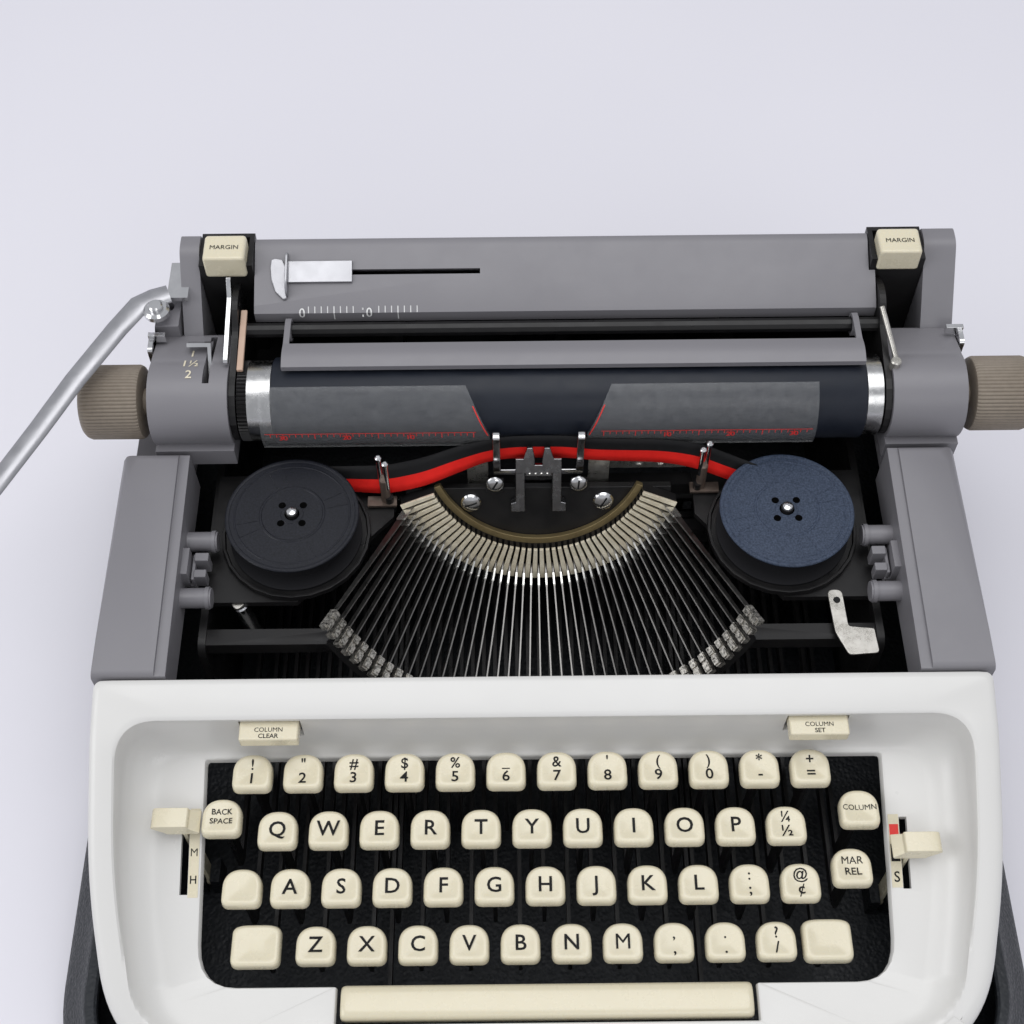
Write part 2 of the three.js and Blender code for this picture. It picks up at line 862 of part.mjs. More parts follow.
function sidePlates() {
  const floorTop = trayFloorUnder + trayFloor + runGap;
  const profile = [
    [plateFrontY, floorTop], [frameRearY, floorTop], [frameRearY, plateTopZ],
    [plateFrontY, plateTopZ, spoolHub], [plateFrontY, fulcrumZ],
  ];
  return [-1, 1].map((side) => {
    const inner = side > 0 ? plateX : -plateX - plateThick;
    const plate = prismX(profile, inner, inner + plateThick);
    const holes = Array.from({ length: fulcrumRods }, (_, index) => {
      const y = fulcrumY + index * fulcrumStep;
      return rod([inner - lap, y, fulcrumZ], [inner + plateThick + lap, y, fulcrumZ], fulcrumRadius + runGap);
    });
    return without(plate, holes);
  });
}

function spoolDecks() {
  const top = spoolBottomZ - cupFloor - 2 * runGap;
  return [-1, 1].map((side) => {
    const inner = side < 0 ? postLeftX - postRadius : deckInX;
    const deck = prismZ([
      [side * inner, postLeftY - spoolHub], [side * (spoolX - postRadius), deckFrontY],
      [side * (plateX + lap), deckFrontY], [side * (plateX + lap), deckRearY], [side * inner, deckRearY],
    ], top - deckThick, top);
    const postX = side < 0 ? -postLeftX : postRightX;
    const postY = side < 0 ? postLeftY : postRightY;
    const post = rod([postX, postY, top - lap], [postX, postY, postTopZ], postRadius);
    return joined(deck, post);
  });
}

function mechanismFrame() {
  const half = plateX + lap;
  const floorTop = trayFloorUnder + trayFloor + runGap;
  const bar = (y, depth, z, height) => block(-half, half, y, y + depth, z, z + height);
  const bars = [
    bar(printBarY, printBarDepth, printBarZ, printBarHeight),
    bar(basketBarY, basketBarDepth, basketBarZ, basketBarHeight),
    bar(plateFrontY, frameTie, floorTop, frameTie),
    bar(frameRearY - plateThick, plateThick, floorTop, frameRearZ - floorTop),
    bar(frontRailY, frontRailDepth, plateTopZ - lap, carriageFloorZ - runGap - plateTopZ + lap),
    bar(rearRailY, rearRailDepth, plateTopZ - lap, railTopZ - plateTopZ + lap),
    bar(rearRailY + (rearRailDepth - railRibDepth) / 2, railRibDepth, railTopZ - lap, railRib + lap),
  ];
  const stemHalf = vibratorStemHalf + runGap;
  const guide = block(
    -stemHalf - panelWall, stemHalf + panelWall, vibratorY - runGap - vibratorThick, printBarY + lap,
    printBarZ, printBarZ + panelWall + lap);
  const stemHole = block(
    -stemHalf, stemHalf, vibratorY - runGap, vibratorY + vibratorThick + runGap,
    printBarZ - cutOver, printBarZ + printBarHeight + cutOver);
  return joined(sidePlates(), bars, guide, spoolDecks(), typeRest(), restBrackets()).subtract(stemHole);
}

// Spool cups and spools
function spoolCup() {
  const floorZ = spoolBottomZ - cupFloor - runGap;
  const radius = spoolRadius + cupGap;
  const rim = floorZ + cupFloor + cupRise - runGap;
  const cup = turnedZ([
    [floorZ, 0], [floorZ, radius + cupWall], [rim, radius + cupWall], [rim, radius],
    [floorZ + cupFloor, radius], [floorZ + cupFloor, spoolPin],
    [spoolBottomZ + 2 * spoolFlange + ribbonWidth + spoolPinProud, spoolPin],
    [spoolBottomZ + 2 * spoolFlange + ribbonWidth + spoolPinProud, 0],
  ], roundSides);
  return cup;
}

function ribbonSpool(packRadius) {
  const gap = ribbonWidth + 2 * ribbonSlack;
  const topFlange = spoolBottomZ + spoolFlange + gap;
  const spool = turnedZ([
    [spoolBottomZ, spoolPin + boreGap], [spoolBottomZ, spoolRadius],
    [spoolBottomZ + spoolFlange, spoolRadius], [spoolBottomZ + spoolFlange, packRadius],
    [topFlange, packRadius], [topFlange, spoolRadius],
    [topFlange + spoolFlange, spoolRadius], [topFlange + spoolFlange, spoolPin + boreGap],
    [spoolBottomZ, spoolPin + boreGap],
  ], wheelSides);
  const holes = Array.from({ length: spoolHoles }, (_, index) => {
    const angle = 2 * Math.PI * index / spoolHoles;
    const x = (spoolHub + spoolHole) * Math.cos(angle);
    const y = (spoolHub + spoolHole) * Math.sin(angle);
    return rod([x, y, topFlange], [x, y, topFlange + spoolFlange + cutOver], spoolHole);
  });
  return without(spool, holes);
}

// Ribbon: leaves one spool, passes the posts and the vibrator's fingers, and ends at the other.
function ribbonStrip() {
  const spoolZ = spoolBottomZ + spoolFlange + ribbonSlack + ribbonWidth / 2;
  const fingerY = vibratorY + vibratorThick + runGap + ribbonThick / 2;
  const leave = (side, radius) => [
    side * (spoolX - radius * Math.cos(radians(ribbonLeaveAngle))),
    spoolY + (radius + ribbonThick) * Math.sin(radians(ribbonLeaveAngle)), spoolZ];
  const passPost = (side, x, y) => [side * (x + postRadius), y + postRadius + ribbonThick, postRibbonZ];
  const route = [
    leave(-1, leftPackRadius + ribbonThick),
    passPost(-1, postLeftX, postLeftY),
    passPost(-1, postLeftX - 2 * postRadius, postLeftY),
    [-fingerX - fingerWidth, fingerY, vibratorRibbonZ],
    [0, fingerY, vibratorRibbonZ],
    [fingerX + fingerWidth, fingerY, vibratorRibbonZ],
    passPost(1, postRightX - 2 * postRadius, postRightY),
    passPost(1, postRightX, postRightY),
    leave(1, rightPackRadius + 2 * ribbonThick),
  ];
  const points = route.map((place) => new THREE.Vector3(...place));
  return uprightBar(points, ribbonWidth, ribbonThick);
}

// Ribbon vibrator: two hooked fingers on a bar, with a flat stem that slides in the frame.
function ribbonVibrator() {
  const y = vibratorY;
  const barBottom = vibratorBarZ;
  const bar = block(
    -fingerX - fingerWidth / 2, fingerX + fingerWidth / 2, y, y + vibratorThick, barBottom,
    barBottom + vibratorBar);
  const stem = block(
    -vibratorStemHalf, vibratorStemHalf, y, y + vibratorThick, vibratorFootZ, barBottom + vibratorBar);
  const fingers = [-1, 1].map((side) => {
    const inner = side * fingerX - fingerWidth / 2;
    const front = y - 2 * fingerThick;
    const hookEnd = fingerTopZ - fingerHook;
    return prismX([
      [y, barBottom], [y + vibratorThick, barBottom],
      [y + vibratorThick, fingerTopZ, fingerThick], [front, fingerTopZ, fingerThick],
      [front, hookEnd], [front + fingerThick, hookEnd],
      [front + fingerThick, fingerTopZ - fingerThick], [y, fingerTopZ - fingerThick],
    ], inner, inner + fingerWidth);
  });
  return joined(bar, stem, fingers);
}

// Segment: the slotted arc that the typebars turn in, drawn in its own tilted plane.
function typebarAngle(index) {
  return typebarSpreadAngle * (2 * index / (typebarCount - 1) - 1);
}

function segment() {
  const band = sector(
    segmentSlotIn, segmentOut, -segmentSpreadAngle, segmentSpreadAngle, -segmentBack, segmentFront,
    typebarCount + 1);
  const ring = sector(
    segmentIn, segmentSlotIn + lap, -segmentSpreadAngle, segmentSpreadAngle, -segmentBack, -segmentRingTop,
    typebarCount + 1);
  const slot = block(
    -typebarSlot / 2, typebarSlot / 2, -segmentOut - cutOver, -segmentSlotIn + cutOver,
    -segmentRingTop, segmentFront + cutOver);
  const slots = Array.from({ length: typebarCount }, (_, index) => slot.rotate([0, 0, typebarAngle(index)]));
  const step = sector(
    pivotRadius - wireGroove, segmentOut + cutOver, -segmentSpreadAngle - typebarStepAngle,
    segmentSpreadAngle + typebarStepAngle, -wireGroove, segmentFront + cutOver, typebarCount);
  return without(joined(band, ring), slots, step);
}

// One typebar, drawn straight down from its pivot and swung up to its rest.
function typebar(withHub) {
  const half = typebarThick / 2;
  const lean = typebarDepth / 2;
  const bar = block(-half, half, withHub ? -lean : 0, typebarLength, -lean, lean);
  const slug = block(
    -slugWidth / 2, slugWidth / 2, typebarLength - slugLength / 2, typebarLength + slugLength / 2,
    -slugDepth, slugProud);
  if (!withHub) return joined(bar, slug);
  const hub = rod([-half, 0, 0], [half, 0, 0], typebarHub, smallSides);
  const hole = rod([-typebarThick, 0, 0], [typebarThick, 0, 0], pivotWire + boreGap, smallSides);
  return joined(bar, slug, hub).subtract(hole);
}

function typebarAtRest(withHub) {
  return typebar(withHub).rotate([typebarSwingAngle, 0, 0]);
}

function typebarFan() {
  const middle = (typebarCount - 1) / 2;
  const bars = Array.from({ length: typebarCount }, (_, index) => index)
    .filter((index) => index !== middle)
    .map((index) => typebarAtRest(false)
      .translate([0, -pivotRadius, 0])
      .rotate([0, 0, typebarAngle(index)]));
  const wire = sector(
    pivotRadius - pivotWire, pivotRadius + pivotWire, -typebarSpreadAngle - typebarStepAngle / 2,
    typebarSpreadAngle + typebarStepAngle / 2, -pivotWire, pivotWire, typebarCount);
  return joined(bars, wire);
}

// Type basket: the plate behind the segment
function typeBasket() {
  const top = -segmentBack - runGap;
  const half = basketHalf;
  return prismZ([
    [-half, -basketTop], [-half, -basketMid, guideLeg], [-basketLowHalf, -basketLow, basketRound],
    [basketLowHalf, -basketLow, basketRound], [half, -basketMid, guideLeg], [half, -basketTop],
  ], top - basketPlate, top, bendSteps * 2);
}

// Type guide: a notched throat on two legs that are screwed to the basket plate
function typeGuide() {
  const seat = -guideBack;
  const throat = prismZ([
    [-guideHalf, guideTop - guideThroat], [guideHalf, guideTop - guideThroat],
    [guideHalf, guideTop - guideLeg], [guideTopHalf, guideTop],
    [guideNotchTop, guideTop], [guideNotch, guideTop - guideLeg], [guideNotch, guideTop - guideNotchDepth],
    [-guideNotch, guideTop - guideNotchDepth], [-guideNotch, guideTop - guideLeg],
    [-guideNotchTop, guideTop], [-guideTopHalf, guideTop], [-guideHalf, guideTop - guideLeg],
  ], seat, seat + guideThick);
  const legs = [-1, 1].map((side) => {
    const foot = side * guideSpread;
    return prismZ([
      [side * (guideHalf - guideLeg), guideTop - guideThroat + lap],
      [side * guideHalf, guideTop - guideThroat + lap],
      [foot + side * guideLeg / 2, -guideFoot], [foot - side * guideLeg / 2, -guideFoot],
    ], seat, seat + guideThick).add(block(
      foot - guideLeg / 2, foot + guideLeg / 2, -guideFoot, guideLeg - guideFoot, -segmentBack,
      seat + guideThick));
  });
  return joined(throat, legs);
}

// Platen: rubber roller with end bands, ratchet and axle in one body
function platen(left, right) {
  const bandRadius = platenRadius - bandInset;
  const roller = turnedX([
    [left, 0], [left, axleRadius], [platenLeft - bandLeft, axleRadius], [platenLeft - bandLeft, bandRadius],
    [platenLeft, bandRadius], [platenLeft, platenRadius], [platenRight, platenRadius],
    [platenRight, bandRadius], [platenRight + bandRight, bandRadius], [platenRight + bandRight, axleRadius],
    [right, axleRadius], [right, 0],
  ], wheelSides);
  const ratchetStart = platenLeft - bandLeft - ratchetWidth;
  const ratchet = loft([ratchetStart, ratchetStart + ratchetWidth].map((x) => toothedRing(
    x, ratchetTeeth, bandRadius, bandRadius - ratchetTooth)));
  return joined(roller, ratchet);
}

// Platen knob: a ribbed cup shape with a hub; its inner end is at x = 0 and it points to -X
function platenKnob(side) {
  const ring = (x, radius, groove) => toothedRing(x, knobRibs, radius, radius - groove);
  const body = loft([
    ring(0, knobRadius - knobRound, 0), ring(knobRound, knobRadius, knobRib),
    ring(knobLength - knobRound, knobRadius, knobRib), ring(knobLength, knobRadius - knobRound, 0),
  ]);
  const hub = rod([knobLength - lap, 0, 0], [knobLength + knobHubProud, 0, 0], knobHubRadius, roundSides);
  const bore = rod([-lap, 0, 0], [knobLength / 2, 0, 0], axleRadius + boreGap, roundSides);
  const knob = joined(body, hub).subtract(bore);
  return side > 0 ? knob : knob.mirror([1, 0, 0]);
}

// Line guides: clear curved sheets with slanted inner ends, each on a foot on the print bar
function cardGuide(side) {
  const inner = platenRadius + cardGap;
  const sheet = sheetRoundPlaten(
    inner, cardThick, cardStartAngle, cardEndAngle, cardInX, cardOutX, smallSides);
  const slantTop = platenZ + platenRadius + cardThick;
  const slant = prismY([
    [cardInX - cutOver, platenZ - cardSlant], [cardInX, platenZ - cardSlant],
    [cardInX + cardSlant, slantTop + cutOver], [cardInX - cutOver, slantTop + cutOver],
  ], platenY - platenRadius - cutOver, platenY + cutOver);
  const edgeY = platenY - (inner + cardThick) * Math.cos(radians(cardStartAngle));
  const edgeZ = platenZ + inner * Math.sin(radians(cardStartAngle));
  const footFront = printBarY - runGap;
  const foot = prismX([
    [footFront, printBarZ + printBarHeight + runGap],
    [footFront + cardThick, printBarZ + printBarHeight + runGap],
    [footFront + cardThick, edgeZ - cardThick], [edgeY + cardThick, edgeZ + cardThick],
    [edgeY, edgeZ + cardThick * 2], [footFront, edgeZ],
  ], cardInX + lap, cardInX + lap + cardFoot);
  const guide = joined(sheet.subtract(slant), foot);
  return side > 0 ? guide : guide.mirror([1, 0, 0]);
}

// Carriage frame: floor with its shoe on the rail, rear wall, end plates, tie rod and paper trough
const plateLeftX = platenLeft - bandLeft - ratchetWidth - runGap * 2 - endPlate;
const plateRightX = platenRight + bandRight + runGap * 2;

function endPlateAt(x) {
  const profile = [
    [platenY, carriageFloorZ + lap], [carriageRearY, carriageFloorZ + lap],
    [carriageRearY, carriageRearZ + lap],
    [earY + earRadius, earZ + earRadius, earRadius], [earY - earRadius, earZ + earRadius, earRadius],
    [tieRodY - tieRodRadius, tieRodZ + tieRodRadius, tieRodRadius], [platenY, platenZ + endPlateRadius],
  ];
  const plate = joined(
    prismX(profile, x, x + endPlate),
    rod([x, platenY, platenZ], [x + endPlate, platenY, platenZ], endPlateRadius, roundSides));
  return without(
    plate, rod([x - lap, platenY, platenZ], [x + endPlate + lap, platenY, platenZ], axleRadius + boreGap,
      roundSides));
}

function marginWell(x) {
  const half = marginKeyWidth / 2 + runGap + marginWellWall;
  const deep = marginKeyDepth / 2 + runGap + marginWellWall;
  const top = marginKeyZ - marginKeyHeight + marginWellDepth / 2;
  const bottom = carriageFloorZ;
  const whole = block(x - half, x + half, marginKeyY - deep, marginKeyY + deep, bottom, top);
  const pocket = block(
    x - half + marginWellWall, x + half - marginWellWall,
    marginKeyY - deep + marginWellWall, marginKeyY + deep - marginWellWall,
    marginKeyZ - marginKeyHeight - marginWellDepth, top + cutOver);
  const stemHole = block(
    x - marginKeyStem / 2 - runGap, x + marginKeyStem / 2 + runGap,
    marginKeyY - marginKeyStem / 2 - runGap, marginKeyY + marginKeyStem / 2 + runGap,
    marginKeyZ - marginKeyHeight - 2 * marginWellDepth, marginKeyZ);
  return without(whole, pocket, stemHole);
}

function carriageFrame() {
  const floor = block(
    plateLeftX, plateRightX + endPlate, carriageFloorY, carriageRearY, carriageFloorZ,
    carriageFloorZ + carriageFloor);
  const wall = block(
    plateLeftX, plateRightX + endPlate, carriageRearY - carriageWall, carriageRearY, carriageFloorZ,
    carriageRearZ);
  const shoe = block(
    -shoeHalf, shoeHalf, rearRailY, rearRailY + rearRailDepth, railTopZ + runGap, carriageFloorZ + lap);
  const grooveY = rearRailY + (rearRailDepth - railRibDepth) / 2;
  const groove = block(
    -shoeHalf - cutOver, shoeHalf + cutOver, grooveY - runGap, grooveY + railRibDepth + runGap,
    railTopZ - lap, railTopZ + railRib + runGap);
  const tieRod = rod(
    [plateLeftX + lap, tieRodY, tieRodZ], [plateRightX + lap, tieRodY, tieRodZ], tieRodRadius, smallSides);
  const trough = sheetRoundPlaten(
    platenRadius + troughGap, troughWall, troughStartAngle, troughEndAngle,
    plateLeftX + lap, plateRightX + lap, smallSides);
  const braceY = platenY + platenRadius;
  const braces = [-shoeHalf, 0, shoeHalf].map((x) => block(
    x - endPlate, x + endPlate, braceY + troughGap, carriageRearY - lap, carriageFloorZ + lap,
    platenZ - knobHubRadius));
  const body = joined(
    floor, wall, shoe, tieRod, trough, braces, endPlateAt(plateLeftX), endPlateAt(plateRightX),
    marginWell(marginKeyLeft), marginWell(marginKeyRight));
  const pinBore = rod(
    [plateLeftX - cutOver, earY, earZ], [plateLeftX + cutOver, earY, earZ], pivotWire + boreGap);
  return without(body, groove, pinBore);
}

// End covers: cast caps round the platen's ends that rise to the margin keys
function coverBody(x0, x1) {
  const arcRadius = platenRadius + coverSeat;
  const cap = rod([x0, platenY, platenZ], [x1, platenY, platenZ], arcRadius, wheelSides);
  const back = prismX([
    [platenY, coverBottomZ], [coverRearY, coverBottomZ], [coverRearY, coverRearZ, coverRound],
    [platenY + coverShoulderY, platenZ + coverShoulderZ, coverRound], [platenY, platenZ + coverShoulderZ],
  ], x0, x1);
  const lip = block(x0, x1, coverLipY, platenY, coverBottomZ, coverLipZ);
  const above = block(x0, x1, coverLipY, coverRearY, coverBottomZ, platenZ + arcRadius);
  const bore = rod([x0 - lap, platenY, platenZ], [x1 + lap, platenY, platenZ], axleRadius + boreGap,
    roundSides);
  return joined(cap, back, lip).intersect(above).subtract(bore);
}

function coverArm(x0, x1) {
  return prismX([
    [coverRearY - coverRound, coverBottomZ], [armTopY, coverBottomZ], [armTopY, armTopZ, coverRound],
    [armTopY - coverArmTop, armTopZ, coverRound], [coverRearY - coverRound, coverRearZ, coverRound],
  ], x0, x1);
}

function endCoverLeft() {
  const x1 = plateLeftX - runGap;
  const x0 = x1 - coverLeftLength;
  const wellEdge = marginKeyLeft - marginKeyWidth / 2 - marginWellWall - 2 * runGap;
  const arm = coverArm(wellEdge - armLeftWidth, wellEdge);
  const boss = block(x0, x0 + bossReach, coverRearY - coverRound, bossRearY, coverBottomZ, bossTopZ);
  const half = lineLeverThick / 2 + runGap * 2;
  const leverSlot = block(
    lineLeverX - half, lineLeverX + half, platenY - axleRadius, coverRearY - coverRound, platenZ, bossTopZ);
  const slotRound = rod(
    [lineLeverX - half, platenY, platenZ], [lineLeverX + half, platenY, platenZ],
    lineLeverWidth + axleRadius, roundSides);
  const pinHole = rod(
    [returnX, returnY, bossTopZ - returnPinDeep - runGap], [returnX, returnY, bossTopZ + lap],
    returnPin + boreGap);
  const wheelHole = rod(
    [x0 - lap, clutchY, clutchZ], [x0 + clutchPinBore, clutchY, clutchZ], clutchPin + boreGap);
  return without(joined(coverBody(x0, x1), arm, boss), leverSlot, slotRound, pinHole, wheelHole);
}

function endCoverRight() {
  const x0 = plateRightX + endPlate + runGap;
  const x1 = x0 + coverRightLength;
  const wellEdge = marginKeyRight + marginKeyWidth / 2 + marginWellWall + 2 * runGap;
  const arm = coverArm(wellEdge, Math.min(wellEdge + armRightWidth, x1));
  const wheelHole = rod(
    [x1 - clutchPinBore, clutchY, clutchZ], [x1 + lap, clutchY, clutchZ], clutchPin + boreGap);
  return without(joined(coverBody(x0, x1), arm), wheelHole);
}

// Paper table: one folded sheet with a lip, a sloping back and the slot of the paper guide
const tableSlope = Math.atan2(tableTopZ - tableFoldZ, tableTopY - tableFoldY);

function paperTable() {
  const backY = carriageRearY + runGap;
  const sheet = prismX([
    [tableLipY, tableLipZ], [tableLipY + tableSheet, tableLipZ],
    [tableFoldY + tableSheet, tableFoldZ - tableSheet], [tableTopY, tableTopZ - tableSheet],
    [backY, tableTopZ - tableSheet - lap], [backY, carriageRearZ - cutOver * 2],
    [backY + tableSheet, carriageRearZ - cutOver * 2], [backY + tableSheet, tableTopZ, tableSheet],
    [tableTopY, tableTopZ, tableSheet], [tableFoldY, tableFoldZ], [tableLipY, tableFoldZ - tableSheet],
  ], tableLeft, tableRight);
  const slot = block(tableSlotLeft, tableSlotRight, 0, tableSlot, -cutOver, cutOver)
    .rotate([THREE.MathUtils.radToDeg(tableSlope), 0, 0])
    .translate([0, (tableFoldY + tableTopY) / 2, (tableFoldZ + tableTopZ) / 2]);
  const corner = (x, half) => block(
    x - half, x + half, marginKeyY - marginKeyDepth / 2 - marginWellWall - 2 * runGap,
    carriageRearY + tableCornerBack, carriageRearZ - tableCornerDrop, tableTopZ + cutOver);
  const wellHalf = marginKeyWidth / 2 + marginWellWall + 2 * runGap;
  return without(sheet, slot, corner(marginKeyLeft, wellHalf), corner(marginKeyRight, wellHalf));
}

// Paper guide: a slider with an upright fin; drawn flat and laid on the table by its group
function paperGuide() {
  const slider = block(
    0, guideSliderLength, -guideSliderDepth / 2 + tableSlot / 2, guideSliderDepth / 2 + tableSlot / 2,
    runGap, runGap + guideSliderSheet);
  const fin = prismX([
    [-guideSliderDepth, runGap], [guideSliderDepth, runGap],
    [guideSliderDepth, finRear, finRound], [-guideSliderDepth / 2, finHeight, finRound],
    [-guideSliderDepth, finFront, finRound],
  ], 0, finThick);
  const pin = block(
    finThick, guidePinLength, runGap, tableSlot - runGap, -tableSheet, runGap * 2);
  return joined(slider, fin, pin);
}

// Paper bail: a crowned bar on two arms that turn on the tie rod
function paperBail() {
  const bar = prismX([
    [bailFrontY, bailBottomZ], [bailFrontY + bailDepth, bailBottomZ],
    [bailFrontY + bailDepth, bailBottomZ + bailSheet],
    [bailFrontY + bailDepth / 2, bailBottomZ + bailSheet + bailCrown, bailRound],
    [bailFrontY, bailBottomZ + bailSheet],
  ], bailLeft, bailRight);
  const arms = [bailLeft, bailRight - bailArm].map((x) => joined(
    prismX([
      [bailFrontY + bailDepth / 2, bailBottomZ], [tieRodY, tieRodZ + tieRodRadius + lap],
      [tieRodY, tieRodZ + bailRing], [bailFrontY + bailDepth / 2, bailBottomZ + bailSheet],
    ], x, x + bailArm),
    rod([x, tieRodY, tieRodZ], [x + bailArm, tieRodY, tieRodZ], bailRing, smallSides)));
  const bore = rod(
    [bailLeft - lap, tieRodY, tieRodZ], [bailRight + lap, tieRodY, tieRodZ], tieRodRadius + boreGap,
    roundSides);
  return joined(bar, arms).subtract(bore);
}

function marginKey() {
  const half = marginKeyWidth / 2;
  const deep = marginKeyDepth / 2;
  const cap = prismY([
    [-half, -marginKeyHeight], [half, -marginKeyHeight], [half, 0, keyEdge * 2], [-half, 0, keyEdge * 2],
  ], -deep, deep);
  const stem = block(
    -marginKeyStem / 2, marginKeyStem / 2, -marginKeyStem / 2, marginKeyStem / 2,
    -marginKeyHeight - marginKeyStemDrop, -marginKeyHeight + lap);
  return joined(cap, stem);
}

// Paper release lever: turns on a pin in the left end plate's ear
const releaseX = plateLeftX - runGap - releaseThick;

function paperReleaseLever() {
  const half = releaseWidth / 2;
  const lever = prismX([
    [releaseTipY - earY, releaseTipZ - earZ - half / 2, half / 2],
    [0, -releaseRadius], [releaseTopY - earY, releaseTopZ - earZ - half, half],
    [releaseTopY - earY, releaseTopZ - earZ + half, half], [0, releaseRadius],
    [releaseTipY - earY, releaseTipZ - earZ + half / 2, half / 2],
  ], 0, releaseThick);
  const hub = rod([0, 0, 0], [releaseThick, 0, 0], releaseRadius, smallSides);
  const pin = rod([0, 0, 0], [releaseThick + endPlate, 0, 0], pivotWire, smallSides);
  return joined(lever, hub, pin);
}

// Line space lever: a quadrant on the platen's axle with a tab above the cover
function lineSpaceLever() {
  const half = lineLeverThick / 2;
  const hub = rod([-half, 0, 0], [half, 0, 0], axleRadius + lineLeverWidth / 2, roundSides);
  const arm = block(-half, half, -lineLeverWidth / 2, lineLeverWidth / 2, 0, lineLeverRadius);
  const tab = block(
    -lineTabLength, half, -lineLeverWidth / 2, lineLeverWidth / 2, lineLeverRadius,
    lineLeverRadius + lineTabThick);
  const bore = rod([-lap - half, 0, 0], [half + lap, 0, 0], axleRadius + boreGap, roundSides);
  return joined(hub, arm, tab).subtract(bore).rotate([-lineLeverAngle, 0, 0]);
}

// Carriage release lever: a blade beside the cover with a finger tab
function carriageRelease(side) {
  const blade = prismX([
    [-clutchWidth / 2, 0], [clutchWidth / 2, 0], [clutchWidth / 2, clutchHeight, clutchThick],
    [-clutchWidth / 2, clutchHeight, clutchThick],
  ], 0, clutchThick);
  const hub = rod([0, 0, 0], [clutchThick, 0, 0], clutchHub, smallSides);
  const pin = rod([-clutchPinLength, 0, 0], [clutchThick, 0, 0], clutchPin, smallSides);
  const tab = block(
    -clutchTab, clutchThick, clutchWidth / 2 - clutchThick, clutchWidth / 2,
    clutchHeight - clutchThick, clutchHeight + clutchThick);
  const lever = joined(blade, hub, pin, tab);
  return side > 0 ? lever : lever.mirror([1, 0, 0]);
}

// Return lever: a hub on an upright pin and a bar that bends down past the knob
function returnLever() {
  const place = (x, y, z) => new THREE.Vector3(x - returnX, y - returnY, z - returnZ);
  const arm = uprightBar([
    place(returnX, returnY, returnZ), place(returnElbowX, returnElbowY, returnElbowZ),
    place(returnMidX, returnMidY, returnMidZ), place(returnLowX, returnLowY, returnLowZ),
  ], returnHeight, returnThick);
  const grip = uprightBar([
    place(returnLowX, returnLowY, returnLowZ), place(returnTipX, returnTipY, returnTipZ),
  ], returnGrip, returnThick);
  const bottom = bossTopZ + runGap - returnZ;
  const hub = rod([0, 0, bottom], [0, 0, returnHeight / 2], returnHub, roundSides);
  const pin = rod([0, 0, bottom - returnPinDeep], [0, 0, 0], returnPin, smallSides);
  return joined(arm, grip, hub, pin);
}

// Keys and levers: a lever's own frame has its fulcrum at the origin
function keyCap(width, depth, height) {
  const ring = (inset, z) => outline([
    [-width / 2 + inset, -depth / 2 + inset, keyFrontRound - inset],
    [width / 2 - inset, -depth / 2 + inset, keyFrontRound - inset],
    [width / 2 - inset, depth / 2 - inset, keyBackRound - inset],
    [-width / 2 + inset, depth / 2 - inset, keyBackRound - inset],
  ]).extractPoints(capSteps).shape.map((point) => new THREE.Vector3(point.x, point.y, z));
  return loft([ring(0, -height), ring(keyEdge / 2, 0), ring(keyDishIn, -keyDish)]);
}

function leverPlate(axisY, keyY, keyUnderZ) {
  const reach = keyY - axisY;
  const low = leverBottomZ - fulcrumZ;
  const high = low + leverDepth;
  const half = leverStem / 2;
  const rise = keyUnderZ + lap - fulcrumZ;
  return prismX([
    [-leverHub, leverHub], [leverHub, leverHub], [leverHub, low],
    [reach - half, low, leverBend], [reach - half, rise], [reach + half, rise],
    [reach + half, high], [-leverHub, high],
  ], -leverThick / 2, leverThick / 2, 1);
}

function keyAt(axisY, keyY, keyZ, width, depth, capShift = 0) {
  const cap = keyCap(width, depth, keyHeight).translate([capShift, keyY - axisY, keyZ - fulcrumZ]);
  return joined(leverPlate(axisY, keyY, keyZ - keyHeight), cap);
}

function fulcrumBore() {
  return rod(
    [-leverThick * 2, 0, 0], [leverThick * 2, 0, 0], fulcrumRadius + boreGap, smallSides);
}

// One key on the fixed fulcrum rod, placed at its lever.
function singleKey(name, leverX, keyX, keyY, keyZ, width = keyWidth, depth = keyDepth) {
  const solid = keyAt(fulcrumY, keyY, keyZ, width, depth, keyX - leverX).subtract(fulcrumBore());
  const mesh = piece(name, solid, ivoryKey());
  mesh.position.set(leverX, fulcrumY, fulcrumZ);
  return mesh;
}

// A row of keys whose levers are carried by a turning rod of their own.
function keyRow(name, firstShare, count, row, rodIndex) {
  const axisY = fulcrumY + rodIndex * fulcrumStep;
  const key = keyAt(axisY, homeRowY + row * rowDepth, homeRowZ + row * rowRise, keyWidth, keyDepth);
  const keys = Array.from({ length: count }, (_, index) => key.translate([
    (firstShare + index) * keyPitch, 0, 0]));
  const half = plateX + plateThick / 2;
  const shaft = rod([-half, 0, 0], [half, 0, 0], fulcrumRadius, shaftSides);
  const mesh = piece(name, joined(keys, shaft), ivoryKey());
  mesh.position.set(0, axisY, fulcrumZ);
  return mesh;
}

function spaceBar() {
  const cap = prismY([
    [-spaceBarLength / 2, -spaceBarHeight, keyEdge], [spaceBarLength / 2, -spaceBarHeight, keyEdge],
    [spaceBarLength / 2, 0, keyEdge * 2], [-spaceBarLength / 2, 0, keyEdge * 2],
  ], -spaceBarDepth / 2, spaceBarDepth / 2).translate([0, spaceBarY - fulcrumY, spaceBarZ - fulcrumZ]);
  const armX = spaceBarArmShare * keyPitch;
  const arms = [-armX, armX].map((x) => leverPlate(fulcrumY, spaceBarY, spaceBarZ - spaceBarHeight)
    .subtract(fulcrumBore()).translate([x, 0, 0]));
  const mesh = piece('space_bar', joined(cap, arms), ivoryKey());
  mesh.position.set(0, fulcrumY, fulcrumZ);
  return mesh;
}

